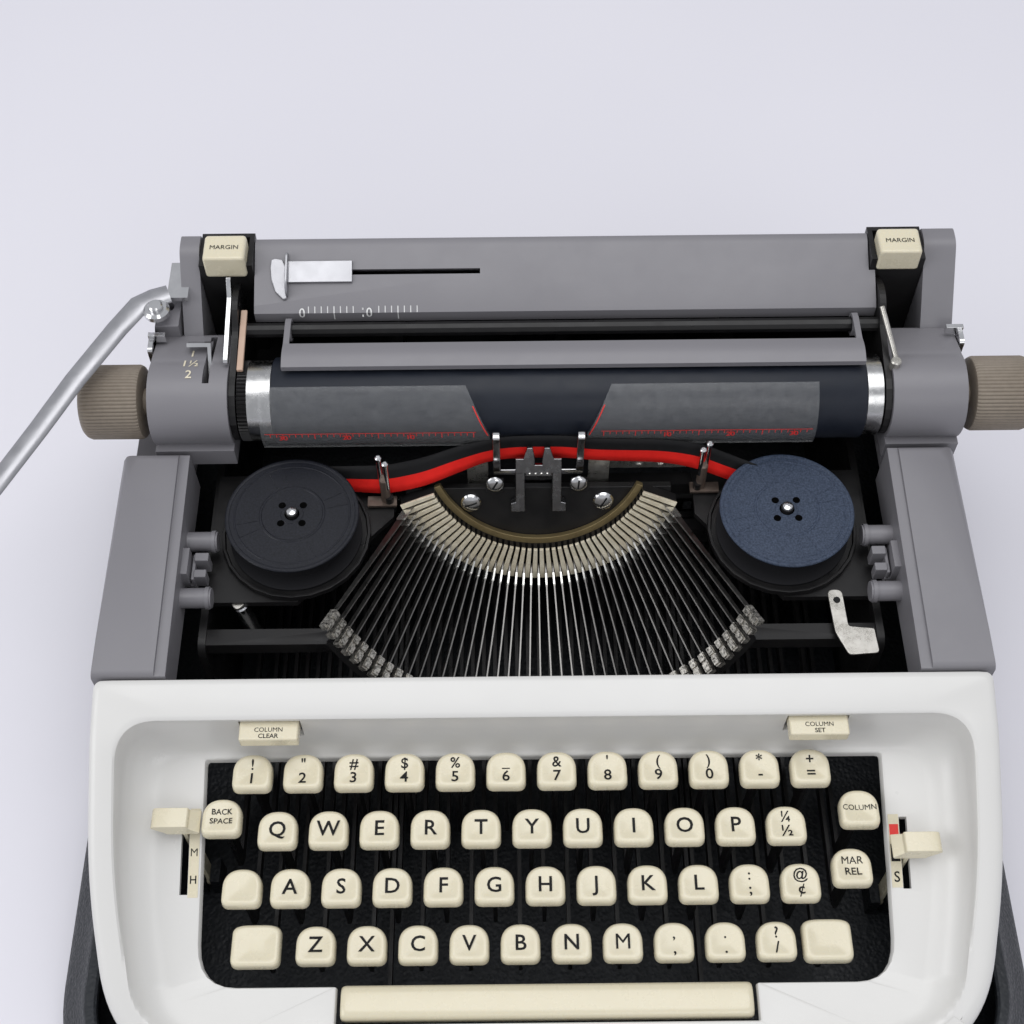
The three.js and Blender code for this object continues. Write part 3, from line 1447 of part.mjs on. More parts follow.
function keyboard() {
  const group = new THREE.Group();
  const place = (share) => share * keyPitch;
  const bottomY = homeRowY - rowDepth;
  const bottomZ = homeRowZ - rowRise;
  homeRowNames.forEach((letter, index) => {
    const x = place(homeRowShare + index);
    group.add(singleKey(`key_${letter}`, x, x, homeRowY, homeRowZ));
  });
  group.add(
    keyRow('number_row', numberRowShare, numberRowKeys, 2, 1),
    keyRow('top_row', topRowShare, topRowKeys, 1, 2),
    keyRow('bottom_row', bottomRowShare, bottomRowKeys, -1, 3),
    singleKey('shift_lock_key', place(lockShare), place(lockShare), homeRowY, homeRowZ),
    singleKey('shift_key_left', place(shiftLeftLeverShare), place(shiftLeftShare),
      bottomY, bottomZ, shiftWidth, shiftDepth),
    singleKey('shift_key_right', place(shiftRightShare), place(shiftRightShare),
      bottomY, bottomZ, shiftWidth, shiftDepth),
    singleKey('backspace_key', place(backspaceShare), place(backspaceShare), backspaceY, backspaceZ),
    singleKey('tab_key', place(tabShare), place(tabShare), backspaceY, backspaceZ),
    singleKey('margin_release_key', place(marginReleaseShare), place(marginReleaseShare),
      marginReleaseY, marginReleaseZ),
    spaceBar());
  const half = plateX + plateThick / 2;
  const fulcrum = piece('key_fulcrum_rod', rod([-half, 0, 0], [half, 0, 0], fulcrumRadius), steel());
  fulcrum.position.set(0, fulcrumY, fulcrumZ);
  group.add(fulcrum);
  return group;
}

// Touch lever and ribbon selector: a flat stem on a pivot in the tray with a moulded knob
function sideLever(name, side, y, knobZ) {
  const height = knobZ - sideLeverPivotZ;
  const half = sideLeverThick / 2;
  const stem = prismX([
    [-sideStemHalf, 0], [sideStemHalf, 0], [sideStemHalf, height], [-sideStemHalf, height],
  ], -half, half);
  const hub = rod([-half, 0, 0], [half, 0, 0], sideLeverHub - lap, smallSides);
  const knob = prismY([
    [-sideKnobWidth / 2, 0, sideKnobFoot], [sideKnobWidth / 2, 0, sideKnobFoot],
    [sideKnobWidth / 2, sideKnobHeight, sideKnobRound], [-sideKnobWidth / 2, sideKnobHeight, sideKnobRound],
  ], -sideKnobDepth / 2, sideKnobDepth / 2).translate([0, 0, height - sideKnobHeight]);
  const mesh = piece(name, joined(stem, hub, knob), ivoryKey());
  mesh.position.set(side * sideLeverX, y, sideLeverPivotZ);
  return mesh;
}

// Column keys: short bars in the mask's edge on a blade
function columnKey(name, side) {
  const half = columnKeyWidth / 2;
  const deep = columnKeyDepth / 2;
  const cap = prismY([
    [-half, -columnKeyHeight], [half, -columnKeyHeight], [half, 0, keyEdge], [-half, 0, keyEdge],
  ], -deep, deep);
  const blade = block(
    -half / 2, half / 2, deep - columnKeyBlade, deep,
    -columnKeyHeight - columnKeyBladeDrop, -columnKeyHeight + lap);
  const mesh = piece(name, joined(cap, blade), ivoryKey());
  mesh.position.set(side * columnKeyX, columnKeyFrontY + deep, columnKeyZ);
  return mesh;
}

// Assembly
function chassis() {
  const group = new THREE.Group();
  group.add(
    piece('base_tray', baseTray(), blackTray()),
    piece('front_mask', frontMask(), paleMask()),
    piece('side_panel_left', sidePanel(-1), greyPaint()),
    piece('side_panel_right', sidePanel(1), greyPaint()),
    piece('mechanism_frame', mechanismFrame(), darkSteel()),
    piece('card_guide_left', cardGuide(-1), finish(0xdfe6e8, 0.1, 0)),
    piece('card_guide_right', cardGuide(1), finish(0xdfe6e8, 0.1, 0)),
    piece('ribbon', ribbonStrip(), finish(0x232326, 0.8, 0)),
    piece('ribbon_vibrator', ribbonVibrator(), chrome()),
    columnKey('column_clear_key', -1),
    columnKey('column_set_key', 1),
    sideLever('touch_lever', -1, touchY, touchZ),
    sideLever('ribbon_selector', 1, selectorY, selectorZ));
  [['left', -1, leftPackRadius, 0x1c1e2a], ['right', 1, rightPackRadius, 0x3e485c]].forEach(
    ([word, side, pack, color]) => {
      const cup = piece(`spool_cup_${word}`, spoolCup(), finish(0x141416, 0.2, 0));
      const spool = piece(`ribbon_spool_${word}`, ribbonSpool(pack), finish(color, 0.4, 0));
      cup.position.set(side * spoolX, spoolY, 0);
      spool.position.set(side * spoolX, spoolY, 0);
      group.add(cup, spool);
    });
  return group;
}

function basket() {
  const group = new THREE.Group();
  group.position.set(0, segmentY, segmentZ);
  group.rotation.x = radians(segmentTiltAngle);
  const middleBar = piece('typebar_h', typebarAtRest(true), steel());
  middleBar.position.y = -pivotRadius;
  group.add(
    piece('segment', segment(), finish(0xc8b996, 0.4, 0.6)),
    piece('type_basket', typeBasket(), finish(0x141416, 0.3, 0.2)),
    piece('typebars', typebarFan(), steel()),
    piece('type_guide', typeGuide(), darkSteel()),
    middleBar);
  return group;
}

function carriage() {
  const group = new THREE.Group();
  group.position.x = carriageOffset;
  const coverLeftX = plateLeftX - runGap - coverLeftLength;
  const coverRightX = plateRightX + endPlate + runGap + coverRightLength;
  const knobLeftX = coverLeftX - clutchThick - 2 * runGap;
  const knobRightX = coverRightX + clutchThick + 2 * runGap;
  const axleReach = knobLength / 2 - lap;
  const put = (mesh, x, y, z) => {
    mesh.position.set(x, y, z);
    group.add(mesh);
  };
  group.add(
    piece('carriage_frame', carriageFrame(), darkSteel()),
    piece('end_cover_left', endCoverLeft(), greyPaint()),
    piece('end_cover_right', endCoverRight(), greyPaint()),
    piece('paper_table', paperTable(), greyPaint()),
    piece('paper_bail', paperBail(), greyPaint()));
  put(piece('platen', platen(knobLeftX - axleReach, knobRightX + axleReach), rubber()), 0, platenY, platenZ);
  put(piece('platen_knob_left', platenKnob(-1), finish(0x968778, 0.5, 0)), knobLeftX, platenY, platenZ);
  put(piece('platen_knob_right', platenKnob(1), finish(0x968778, 0.5, 0)), knobRightX, platenY, platenZ);
  put(piece('return_lever', returnLever(), chrome()), returnX, returnY, returnZ);
  put(piece('margin_key_left', marginKey(), ivoryKey()), marginKeyLeft, marginKeyY, marginKeyZ);
  put(piece('margin_key_right', marginKey(), ivoryKey()), marginKeyRight, marginKeyY, marginKeyZ);
  put(piece('line_space_lever', lineSpaceLever(), chrome()), lineLeverX, platenY, platenZ);
  put(piece('carriage_release_left', carriageRelease(-1), chrome()), coverLeftX - runGap, clutchY, clutchZ);
  put(piece('carriage_release_right', carriageRelease(1), chrome()), coverRightX + runGap, clutchY, clutchZ);
  put(piece('paper_release_lever', paperReleaseLever(), chrome()), releaseX, earY, earZ);
  const guide = piece('paper_guide', paperGuide(), chrome());
  guide.position.set(guideSliderLeft, (tableFoldY + tableTopY) / 2, (tableFoldZ + tableTopZ) / 2);
  guide.rotation.x = tableSlope;
  group.add(guide);
  return group;
}

const typewriter = new THREE.Group();
typewriter.position.set(centreShiftX, centreShiftY, 0);
typewriter.add(chassis(), basket(), keyboard(), carriage());

export default typewriter;
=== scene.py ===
import math

import bmesh
import bpy
import numpy as np
from mathutils import Matrix, Quaternion, Vector
from mathutils.bvhtree import BVHTree


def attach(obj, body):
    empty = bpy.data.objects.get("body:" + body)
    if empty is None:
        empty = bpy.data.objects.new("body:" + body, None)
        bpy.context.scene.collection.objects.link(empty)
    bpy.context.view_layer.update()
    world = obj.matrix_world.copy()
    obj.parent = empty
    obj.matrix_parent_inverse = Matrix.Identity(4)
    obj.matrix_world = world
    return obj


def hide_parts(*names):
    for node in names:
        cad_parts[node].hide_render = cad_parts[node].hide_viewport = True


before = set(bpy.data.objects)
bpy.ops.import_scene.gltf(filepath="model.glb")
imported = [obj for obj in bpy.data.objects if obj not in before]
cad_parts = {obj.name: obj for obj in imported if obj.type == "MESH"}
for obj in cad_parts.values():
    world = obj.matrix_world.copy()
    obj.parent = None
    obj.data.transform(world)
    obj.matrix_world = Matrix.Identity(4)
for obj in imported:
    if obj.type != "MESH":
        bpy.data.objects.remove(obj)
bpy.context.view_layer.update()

# Camera, table and daylight
# The machine is seen from above its keyboard, standing on a pale table in soft light from
# a window to the left. The table is no part of the machine.
MM = 0.001
eye = Vector((4.2, -283.9, 605)) * MM
sight = Vector((0, 0.5446, -0.8387))
roll = math.radians(-0.6)
table_half, daylight, daylight_strength = 2.4, (0.93, 0.95, 1.0, 1), 0.55

camera_data = bpy.data.cameras.new("camera")
camera_data.sensor_width, camera_data.lens, camera_data.clip_start = 36, 52.6, 0.01
camera = bpy.data.objects.new("camera", camera_data)
bpy.context.collection.objects.link(camera)
camera.rotation_mode = "QUATERNION"
camera.rotation_quaternion = sight.to_track_quat("-Z", "Y") @ Quaternion((0, 0, 1), roll)
camera.location = eye
bpy.context.scene.camera = camera
bpy.context.scene.view_settings.view_transform = "Standard"


class Field:
    """A socket that takes part in sums."""

    def __init__(self, finish, socket):
        self.finish, self.socket = finish, socket

    def maths(self, operation, other):
        return self.finish.node("ShaderNodeMath", {"operation": operation}, {0: self, 1: other})

    def __add__(self, other):
        return self.maths("ADD", other)

    def __sub__(self, other):
        return self.maths("SUBTRACT", other)

    def __mul__(self, other):
        return self.maths("MULTIPLY", other)

    def __gt__(self, other):
        return self.maths("GREATER_THAN", other)


class Finish:
    """A material in the making; node adds to its tree, and the other methods build on that."""

    def __init__(self, name):
        self.material = bpy.data.materials.new(name)
        self.material.use_nodes = True
        self.tree = self.material.node_tree
        self.shader = self.tree.nodes["Principled BSDF"]

    def node(self, kind, settings=None, sockets=None, output=0):
        made = self.tree.nodes.new(kind)
        for key, value in (settings or {}).items():
            if key == "stops":
                while len(made.color_ramp.elements) < len(value):
                    made.color_ramp.elements.new(0.5)
                for stop, (place, colour) in zip(made.color_ramp.elements, value):
                    stop.position, stop.color = place, (*colour, 1)
            else:
                setattr(made, key, value)
        for key, value in (sockets or {}).items():
            if isinstance(value, Field):
                self.tree.links.new(value.socket, made.inputs[key])
            else:
                made.inputs[key].default_value = value
        return Field(self, made.outputs[output])

    def place(self):
        return self.node("ShaderNodeTexCoord", output="Object")

    def noise(self, scale, detail=3.0, rough=0.5):
        return self.node("ShaderNodeTexNoise", {}, {
            "Vector": self.place(), "Scale": scale, "Detail": detail, "Roughness": rough})

    def ramp(self, factor, *stops):
        return self.node("ShaderNodeValToRGB", {"stops": stops}, {"Fac": factor})

    def between(self, factor, low, high):
        """A number that runs from low to high as the factor does from 0.3 to 0.7."""
        return self.node("ShaderNodeMapRange", {}, {
            "Value": factor, "From Min": 0.3, "From Max": 0.7, "To Min": low, "To Max": high})

    def mixed(self, factor, first, second):
        return self.node("ShaderNodeMix", {"data_type": "RGBA"}, {
            0: factor, 6: first if isinstance(first, Field) else (*first, 1),
            7: second if isinstance(second, Field) else (*second, 1)}, output=2)

    def bump(self, height, strength, distance=0.0002):
        return self.node("ShaderNodeBump", {}, {
            "Height": height, "Strength": strength, "Distance": distance})

    def surface(self, **values):
        """Sets the shader's own sockets; a name's underscores stand for spaces."""
        for key, value in values.items():
            socket = self.shader.inputs[key.replace("_", " ")]
            if isinstance(value, Field):
                self.tree.links.new(value.socket, socket)
            elif socket.type == "RGBA":
                socket.default_value = (*value, 1)
            else:
                socket.default_value = value


def one_noise(name, noise, dark, light, sheen, **constants):
    """A finish in which one noise varies the colour and the roughness."""
    finish = Finish(name)
    grain = finish.noise(*noise)
    finish.surface(
        Base_Color=finish.mixed(grain, dark, light), Roughness=finish.between(grain, *sheen), **constants)
    return finish


def new_object(name, vertices, faces, material):
    mesh = bpy.data.meshes.new(name)
    mesh.from_pydata([tuple(v) for v in vertices], [], faces)
    mesh.materials.append(material)
    made = bpy.data.objects.new(name, mesh)
    bpy.context.collection.objects.link(made)
    return made


table_finish = one_noise("table_white", (3.0, 4.0), (0.71, 0.70, 0.76), (0.75, 0.74, 0.79), (0.5, 0.6))
table_corners = [(x * table_half, y * table_half, 0) for x, y in ((-1, -1), (1, -1), (1, 1), (-1, 1))]
table = new_object("table", table_corners, [(0, 1, 2, 3)], table_finish.material)

world = bpy.data.worlds.new("room")
bpy.context.scene.world = world
world.use_nodes = True
sky = world.node_tree.nodes["Background"].inputs
sky["Color"].default_value, sky["Strength"].default_value = daylight, daylight_strength

for lamp_name, lamp_at, lamp_size, lamp_watts in (
        ("ceiling", (0.1, 0.15, 1.9), 1.5, 17),
        ("window", (-1.5, -0.5, 1.2), 1.0, 9),
        ("room_front", (0.5, -1.5, 1.3), 0.8, 3.5)):
    lamp_data = bpy.data.lights.new(lamp_name, "AREA")
    lamp_data.size, lamp_data.energy = lamp_size, lamp_watts
    lamp = bpy.data.objects.new(lamp_name, lamp_data)
    lamp.location = lamp_at
    lamp.rotation_euler = (Vector((0, 0, 0.06)) - lamp.location).to_track_quat("-Z", "Y").to_euler()
    bpy.context.collection.objects.link(lamp)

# Base tray
# The lower shell is one moulding of black plastic with a leather grain, which flares beyond the
# upper housing. It stands on four feet and carries the pivots of the two side levers.
MIDDLE = Vector((15.2, 3.5, 0))
BASE = "chassis"
SIDE_LEVER_X = 135.6
tray_half, tray_front, tray_rear, tray_corner = 172.0, 164.0, 158.0, 34.0
tray_profile = (
    (4, 2), (7.4, 2.2), (9.4, 3.4), (12, 7), (14.2, 12), (15, 16), (14.2, 19), (11.8, 23), (7.2, 29),
    (3.3, 35), (1.2, 39), (0.2, 41.2), (-0.5, 41.9), (-1.6, 42), (-3.8, 41.9), (-4.7, 41.2),
    (-5, 39), (-2, 32), (2, 29), (6, 20), (6, 12), (3, 5.2))


def loops(rings, capped=True):
    """Faces between rings of equally many points, with the first and the last ring closed."""
    count, total = len(rings[0]), len(rings[0]) * len(rings)
    faces = []
    for level in range(len(rings) - 1):
        for index in range(count):
            here, beside = level * count + index, level * count + (index + 1) % count
            faces.append((here, beside, beside + count, here + count))
    if capped:
        faces += [tuple(reversed(range(count))), tuple(range(total - count, total))]
    return np.concatenate(rings), faces


def curved_outline(corners, steps):
    """A closed outline through corners (x, y, round), with each round drawn in so many steps."""
    points = []
    for index, (x, y, size) in enumerate(corners):
        corner = Vector((x, y))
        before, after = (Vector(corners[i % len(corners)][:2]) - corner for i in (index - 1, index + 1))
        start, end = corner + before.normalized() * size, corner + after.normalized() * size
        for step in range(steps + 1 if size else 1):
            t = step / steps
            points.append(start * (1 - t) ** 2 + corner * 2 * t * (1 - t) + end * t * t)
    return np.array([tuple(point) for point in points])


def turned_right(made):
    """Merges doubles and turns all faces outwards."""
    work = bmesh.new()
    work.from_mesh(made.data)
    bmesh.ops.remove_doubles(work, verts=work.verts, dist=0.01 * MM)
    bmesh.ops.recalc_face_normals(work, faces=work.faces)
    work.to_mesh(made.data)
    work.free()


def smooth(made, angle=35):
    made.data.shade_smooth()
    made.data.set_sharp_from_angle(angle=math.radians(angle))


def in_place(name, points, faces, finish, shift=(0, 0, 0)):
    """An object from points in millimetres round the machine's middle."""
    placed = (np.asarray(points) + np.array(MIDDLE) + np.array(shift)) * MM
    return new_object(name, placed, faces, finish.material)


def moved_to(place=(0, 0, 0)):
    """The move from the origin to a place in millimetres round the machine's middle."""
    return Matrix.Translation((MIDDLE + Vector(place)) * MM)


def solid(name, points, faces, finish, body, angle=35, shift=(0, 0, 0)):
    """A closed piece in the machine's millimetres, riding on a body."""
    made = in_place(name, points, faces, finish, shift)
    turned_right(made)
    smooth(made, angle)
    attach(made, body)
    return made


def bevelled(made, width, segments=2, angle=35):
    edge = made.modifiers.new("edges", "BEVEL")
    edge.width = width * MM
    edge.segments = segments
    edge.limit_method = "ANGLE"
    edge.angle_limit = math.radians(angle)
    edge.harden_normals = True
    return made


def box(x0, x1, y0, y1, z0, z1):
    points = [(x, y, z) for z in (z0, z1) for y in (y0, y1) for x in (x0, x1)]
    return points, [(0, 2, 3, 1), (4, 5, 7, 6), (0, 1, 5, 4), (2, 6, 7, 3), (0, 4, 6, 2), (1, 3, 7, 5)]


def together(*shapes):
    """Several (points, faces) as one."""
    points, faces = [], []
    for some_points, some_faces in shapes:
        start = len(points)
        points.extend(tuple(point) for point in some_points)
        faces.extend(tuple(start + index for index in face) for face in some_faces)
    return points, faces


def lathe(profile, steps, centre=(0, 0, 0), axis="Z", capped=True):
    """A turned body: the profile is (position along the axis, radius) from one end to the other."""
    angles = np.arange(steps) * 2 * math.pi / steps
    rings = []
    for along, radius in profile:
        ring = np.stack([radius * np.cos(angles), radius * np.sin(angles), np.full(steps, along)], axis=1)
        rings.append(ring[:, [2, 0, 1]] if axis == "X" else ring)
    points, faces = loops(rings, capped)
    return points + np.array(centre), faces


tray_finish = Finish("black_grained_plastic")
grain_cells = tray_finish.node("ShaderNodeTexVoronoi", {"feature": "SMOOTH_F1"}, {
    "Vector": tray_finish.place(), "Scale": 620.0, "Smoothness": 0.6})
grain_folds = tray_finish.noise(900.0, 3.0)
tray_dust = tray_finish.noise(25.0, 5.0, 0.7)
tray_finish.surface(
    Base_Color=tray_finish.mixed(tray_dust, (0.011, 0.013, 0.016), (0.026, 0.029, 0.034)),
    Specular_IOR_Level=0.28, Roughness=tray_finish.between(grain_folds, 0.38, 0.6),
    Normal=tray_finish.bump(grain_cells + grain_folds * 0.5, 0.75, 0.0004))

tray_rings = []
for tray_offset, tray_z in tray_profile:
    flare = tray_offset * 8 / 15
    ring = curved_outline([
        (-tray_half - tray_offset, -tray_front - flare, tray_corner + tray_offset),
        (tray_half + tray_offset, -tray_front - flare, tray_corner + tray_offset),
        (tray_half + tray_offset, tray_rear + flare, tray_corner + tray_offset),
        (-tray_half - tray_offset, tray_rear + flare, tray_corner + tray_offset)], 18)
    tray_rings.append(np.column_stack([ring, np.full(len(ring), tray_z)]))
tray_feet = [lathe(((0, 10), (0.1, 10.8), (0.8, 11), (2.4, 11)), 32, (x, y, 0))
             for x in (-142, 142) for y in (-134, 128)]
lever_ears = [box(x + dx, x + dx + side * 3.8, y - 5, y + 5, 4.6, 19)
              for x, y in ((-SIDE_LEVER_X, -78), (SIDE_LEVER_X, -89.4)) for side, dx in ((-1, -1.2), (1, 1.2))]
tray = solid("base_shell", *together(loops(tray_rings), *tray_feet, *lever_ears), tray_finish, BASE)
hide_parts("base_tray")

# Front mask
# The upper housing in front of the typebars is one pale moulding. Its rim frames a recess with a
# cove, the well of the keys and its notch for the space bar, and the slots of the side levers.
mask_half, mask_front_half, mask_front, mask_back = 168.0, 158.0, -160.0, -34.6
mask_floor_z, mask_base, mask_wall = 47.0, 42.3, 2.4
well_half, well_front, well_back, bar_half, bar_front = 129.0, -133.0, -54.0, 77.6, -146.6
cove, slot_half = 13.0, 1.5
ring_centre = np.array([0.0, -97.0])
profile_y = np.linspace(mask_front - 8, mask_back + 8, 400)
profile_z = np.interp(profile_y, [-160, -157, -150, -57, -34.6, -26], [47, 48.6, 50.6, 99, 106, 106])
profile_z = np.convolve(np.pad(profile_z, 12, "edge"), np.ones(25) / 25, "valid")


def headings(outline):
    ahead = outline - ring_centre
    return np.unwrap(np.arctan2(ahead[:, 1], ahead[:, 0]))


def radial(outline, angles):
    """Where rays from the ring centre at these angles cross a closed outline."""
    ahead = outline - ring_centre
    after = np.roll(ahead, -1, axis=0)
    places = []
    for angle in angles:
        ray = np.array([math.cos(angle), math.sin(angle)])
        best = 0.0
        for (ax, ay), (bx, by) in zip(ahead, after):
            cross = ray[0] * (by - ay) - ray[1] * (bx - ax)
            if abs(cross) < 1e-9:
                continue
            reach = (ax * (by - ay) - ay * (bx - ax)) / cross
            share = (ax * ray[1] - ay * ray[0]) / cross
            if reach > 0 and -1e-6 <= share <= 1 + 1e-6:
                best = max(best, reach)
        places.append(ring_centre + ray * best)
    return np.array(places)


def mask_edge(inset, back=mask_back):
    return curved_outline([
        (-mask_front_half + inset, mask_front + inset, 32 - inset * 0.4),
        (mask_front_half - inset, mask_front + inset, 32 - inset * 0.4),
        (mask_half - inset, -100, 18.75), (mask_half - inset, back - inset, max(2.0, 4 - inset * 0.3)),
        (-mask_half + inset, back - inset, max(2.0, 4 - inset * 0.3)), (-mask_half + inset, -100, 18.75)], 16)


def recess_edge(inset, back):
    side = mask_half - 10 - inset
    front = mask_front_half - 10 - inset
    return curved_outline([
        (-front, mask_front + 4 + inset / 2, 20), (front, mask_front + 4 + inset / 2, 20), (side, -100, 18.75),
        (side, back, 15), (-side, back, 15), (-side, -100, 18.75)], 16)


well_edge = curved_outline([
    (-well_half, well_front, 15), (-bar_half, well_front, 0.6), (-bar_half, bar_front, 0.8),
    (bar_half, bar_front, 0.8), (bar_half, well_front, 0.6), (well_half, well_front, 15),
    (well_half, well_back, 1.5), (-well_half, well_back, 1.5)], 6)
ring_angles = np.concatenate(
    [np.linspace(-math.pi, math.pi, 240, endpoint=False)]
    + [headings(some) for some in (well_edge, mask_edge(0), recess_edge(0, -50.5), recess_edge(cove, -53))])
ring_angles = np.sort(np.mod(ring_angles + math.pi, 2 * math.pi) - math.pi)
ring_angles = ring_angles[np.append(np.diff(ring_angles) > 0.0015, True)]


def mask_ring(outline, height):
    places = radial(outline, ring_angles)
    return np.column_stack([places, [height(y) for y in places[:, 1]]])


def top_z(y):
    return float(np.interp(y, profile_y, profile_z))


def recess_z(y):
    return mask_floor_z + max(y - well_front, 0) * 27 / 79


def lower(first, second, blend=1.6):
    """The lower of two heights, with the change between them rounded."""
    share = min(max(0.5 + 0.5 * (second - first) / blend, 0), 1)
    return second + (first - second) * share - blend * share * (1 - share)


mask_rings = []
for inset, drop in ((-0.2, 3), (0, 1.2), (0.35, 0.35), (1.2, 0)):
    mask_rings.append(mask_ring(
        ring_centre + (well_edge - ring_centre) * (1 + inset / 90), lambda y: recess_z(y) - drop))
for step in range(11):
    arc = math.radians(9 * step)
    inset, rise = cove * (1 - math.sin(arc)), cove * (1 - math.cos(arc))
    mask_rings.append(mask_ring(
        recess_edge(inset, -53 + 4 * (1 - inset / cove)), lambda y: lower(recess_z(y) + rise, top_z(y) - 0.2)))
for inset, back, drop in ((0, -49.4, 6), (0, -49.6, 2.2), (-0.25, -50, 0.9), (-0.9, -49.4, 0.2), (-2, -48.4, 0)):
    mask_rings.append(mask_ring(
        recess_edge(inset, back), lambda y: max(lower(recess_z(y) + cove, top_z(y) - 0.2), top_z(y) - drop)))
for inset, drop in ((3.4, 0), (1.8, 0.35), (0.7, 1.2), (0.15, 2.6)):
    mask_rings.append(mask_ring(mask_edge(inset), lambda y: max(top_z(y) - drop, mask_base + 1.2)))
for level in (0.55, 0.1, 0):
    mask_rings.append(mask_ring(
        mask_edge(0), lambda y: mask_base + max(top_z(y) - 4.5 - mask_base, 1.0) * level))

mask_finish = Finish("pale_moulded_plastic")
mask_cloud = mask_finish.noise(9.0, 4.0)
mask_pores = mask_finish.noise(1500.0, 2.0)
mask_smears = mask_finish.noise(45.0, 5.0, 0.65)
mask_finish.surface(
    Base_Color=mask_finish.mixed(mask_cloud, (0.625, 0.62, 0.604), (0.682, 0.672, 0.651)),
    Roughness=mask_finish.between(mask_smears, 0.27, 0.4), Coat_Weight=0.15, Coat_Roughness=0.2,
    Normal=mask_finish.bump(mask_pores, 0.08))


def settled(made):
    """Turns what the modifiers show into the plain mesh of the piece."""
    evaluated = made.evaluated_get(bpy.context.evaluated_depsgraph_get())
    made.data = bpy.data.meshes.new_from_object(evaluated)
    made.modifiers.clear()
    return made


def cut(made, finish, *tools):
    """Takes boxes and other closed shapes away from a piece."""
    for number, (points, faces) in enumerate(tools):
        tool = in_place(f"cutter_{number}", points, faces, finish)
        turned_right(tool)
        away = made.modifiers.new("cut", "BOOLEAN")
        away.object, away.operation, away.solver = tool, "DIFFERENCE", "MANIFOLD"
        settled(made)
        bpy.data.objects.remove(tool)


mask = solid("mask", *loops(mask_rings, capped=False), mask_finish, BASE)
wall = mask.modifiers.new("wall", "SOLIDIFY")
wall.thickness, wall.offset = mask_wall * MM, -1
settled(mask)
cut(mask, mask_finish, *[
    box(x - slot_half, x + slot_half, front, back, 30, 80)
    for x, front, back in ((-SIDE_LEVER_X, -101.5, -72.5), (SIDE_LEVER_X, -101.9, -76.9))],
    box(-113.5, -90.5, -60.6, -46.5, 84.5, 98), box(90.5, 113.5, -60.6, -46.5, 84.5, 98))
smooth(mask, 32)
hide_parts("front_mask")

# Side panels
# Each side is closed by a cover of pressed metal in satin grey paint. A step runs along its inner
# edge, and two pegs and a spring clip stand there for a hinged lid.
panel_in, panel_peg_y, panel_peg_z = 140.0, (5.0, 31.0), 95.0
clip_boxes = ((-0.5, 3.5, 12.4, 24.0, 88, 92), (2.0, 3.4, 12.4, 24.0, 92, 97), (3.0, 8.0, 13.2, 16.8, 90, 97.5),
              (3.0, 8.6, 19.8, 23.6, 90, 99))


def from_cad(name, node, finish, body, width=0.35, angle=30, above=None):
    """A bevelled copy of a solid from the frame; above cuts away what lies over that height."""
    made = new_object(name, [], [], finish.material)
    work = bmesh.new()
    work.from_mesh(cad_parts[node].data)
    bmesh.ops.remove_doubles(work, verts=work.verts, dist=0.005 * MM)
    if above is not None:
        everything = work.verts[:] + work.edges[:] + work.faces[:]
        bmesh.ops.bisect_plane(
            work, geom=everything, plane_co=(0, 0, above * MM), plane_no=(0, 0, 1), clear_outer=True)
        bmesh.ops.holes_fill(work, edges=[edge for edge in work.edges if edge.is_boundary])
    bmesh.ops.dissolve_limit(work, angle_limit=math.radians(1), verts=work.verts, edges=work.edges)
    work.to_mesh(made.data)
    work.free()
    if width:
        bevelled(made, width, 2, angle)
    smooth(made, angle)
    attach(made, body)
    return made


grey_finish = Finish("satin_grey_paint")
grey_cloud = grey_finish.noise(11.0, 4.0)
grey_peel = grey_finish.noise(850.0, 2.0)
grey_rub = grey_finish.noise(60.0, 5.0, 0.7)
grey_finish.surface(
    Base_Color=grey_finish.mixed(grey_cloud, (0.172, 0.167, 0.182), (0.208, 0.202, 0.217)),
    Roughness=grey_finish.between(grey_rub, 0.36, 0.5), Coat_Weight=0.1, Coat_Roughness=0.35,
    Normal=grey_finish.bump(grey_peel, 0.2, 0.00012))
dark_finish = one_noise("japanned_steel", (70.0, 5.0, 0.65), (0.005, 0.005, 0.006), (0.018, 0.017, 0.017),
                        (0.25, 0.5), Specular_IOR_Level=0.3)

for side, word in ((-1, "left"), (1, "right")):
    panel = from_cad(f"panel_{word}", f"side_panel_{word}", grey_finish, BASE, 0)
    inner, outer = sorted((side * (panel_in - 0.5), side * (panel_in + 5.2)))
    step_points, step_faces = box(inner, outer, -60, 64.5, 0, 3)
    step_points = [(x, y, z + 104.5 + (y + 34.1) * 6 / 97.1) for x, y, z in step_points]
    cut(panel, grey_finish, (step_points, step_faces))
    bevelled(panel, 0.9, 3)
    smooth(panel, 32)
    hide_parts(f"side_panel_{word}")
    collars = [lathe(((10.2 * -side, 4.0), (10.2 * -side, 4.5), (8.6 * -side, 4.5), (8.6 * -side, 4.0)), 28,
                     (side * panel_in, y, panel_peg_z), "X") for y in panel_peg_y]
    solid(f"peg_collars_{word}", *together(*collars), grey_finish, BASE)
    clip = together(*[box(*sorted((side * (panel_in - x0), side * (panel_in - x1))), *rest)
                      for x0, x1, *rest in clip_boxes])
    bevelled(solid(f"lid_clip_{word}", *clip, grey_finish, BASE), 0.5)

# Mechanism frame
# Black steel plates, bars and rails carry the whole mechanism. Parts of it show under the spools,
# beside the type guide and behind the segment.


def painted(node, finish):
    """Gives a solid that stays shown its finish."""
    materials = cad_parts[node].data.materials
    materials.clear()
    materials.append(finish.material)


painted("key_fulcrum_rod", dark_finish)
mechanism = from_cad("mechanism_plates", "mechanism_frame", dark_finish, BASE, 0, 30)
post_places = (("left", -61.6, 54.0), ("right", 66.0, 59.4))
cut(mechanism, dark_finish, *[box(x - 2.6, x + 2.6, y - 2.6, y + 2.6, 92, 120) for word, x, y in post_places])
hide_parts("mechanism_frame")

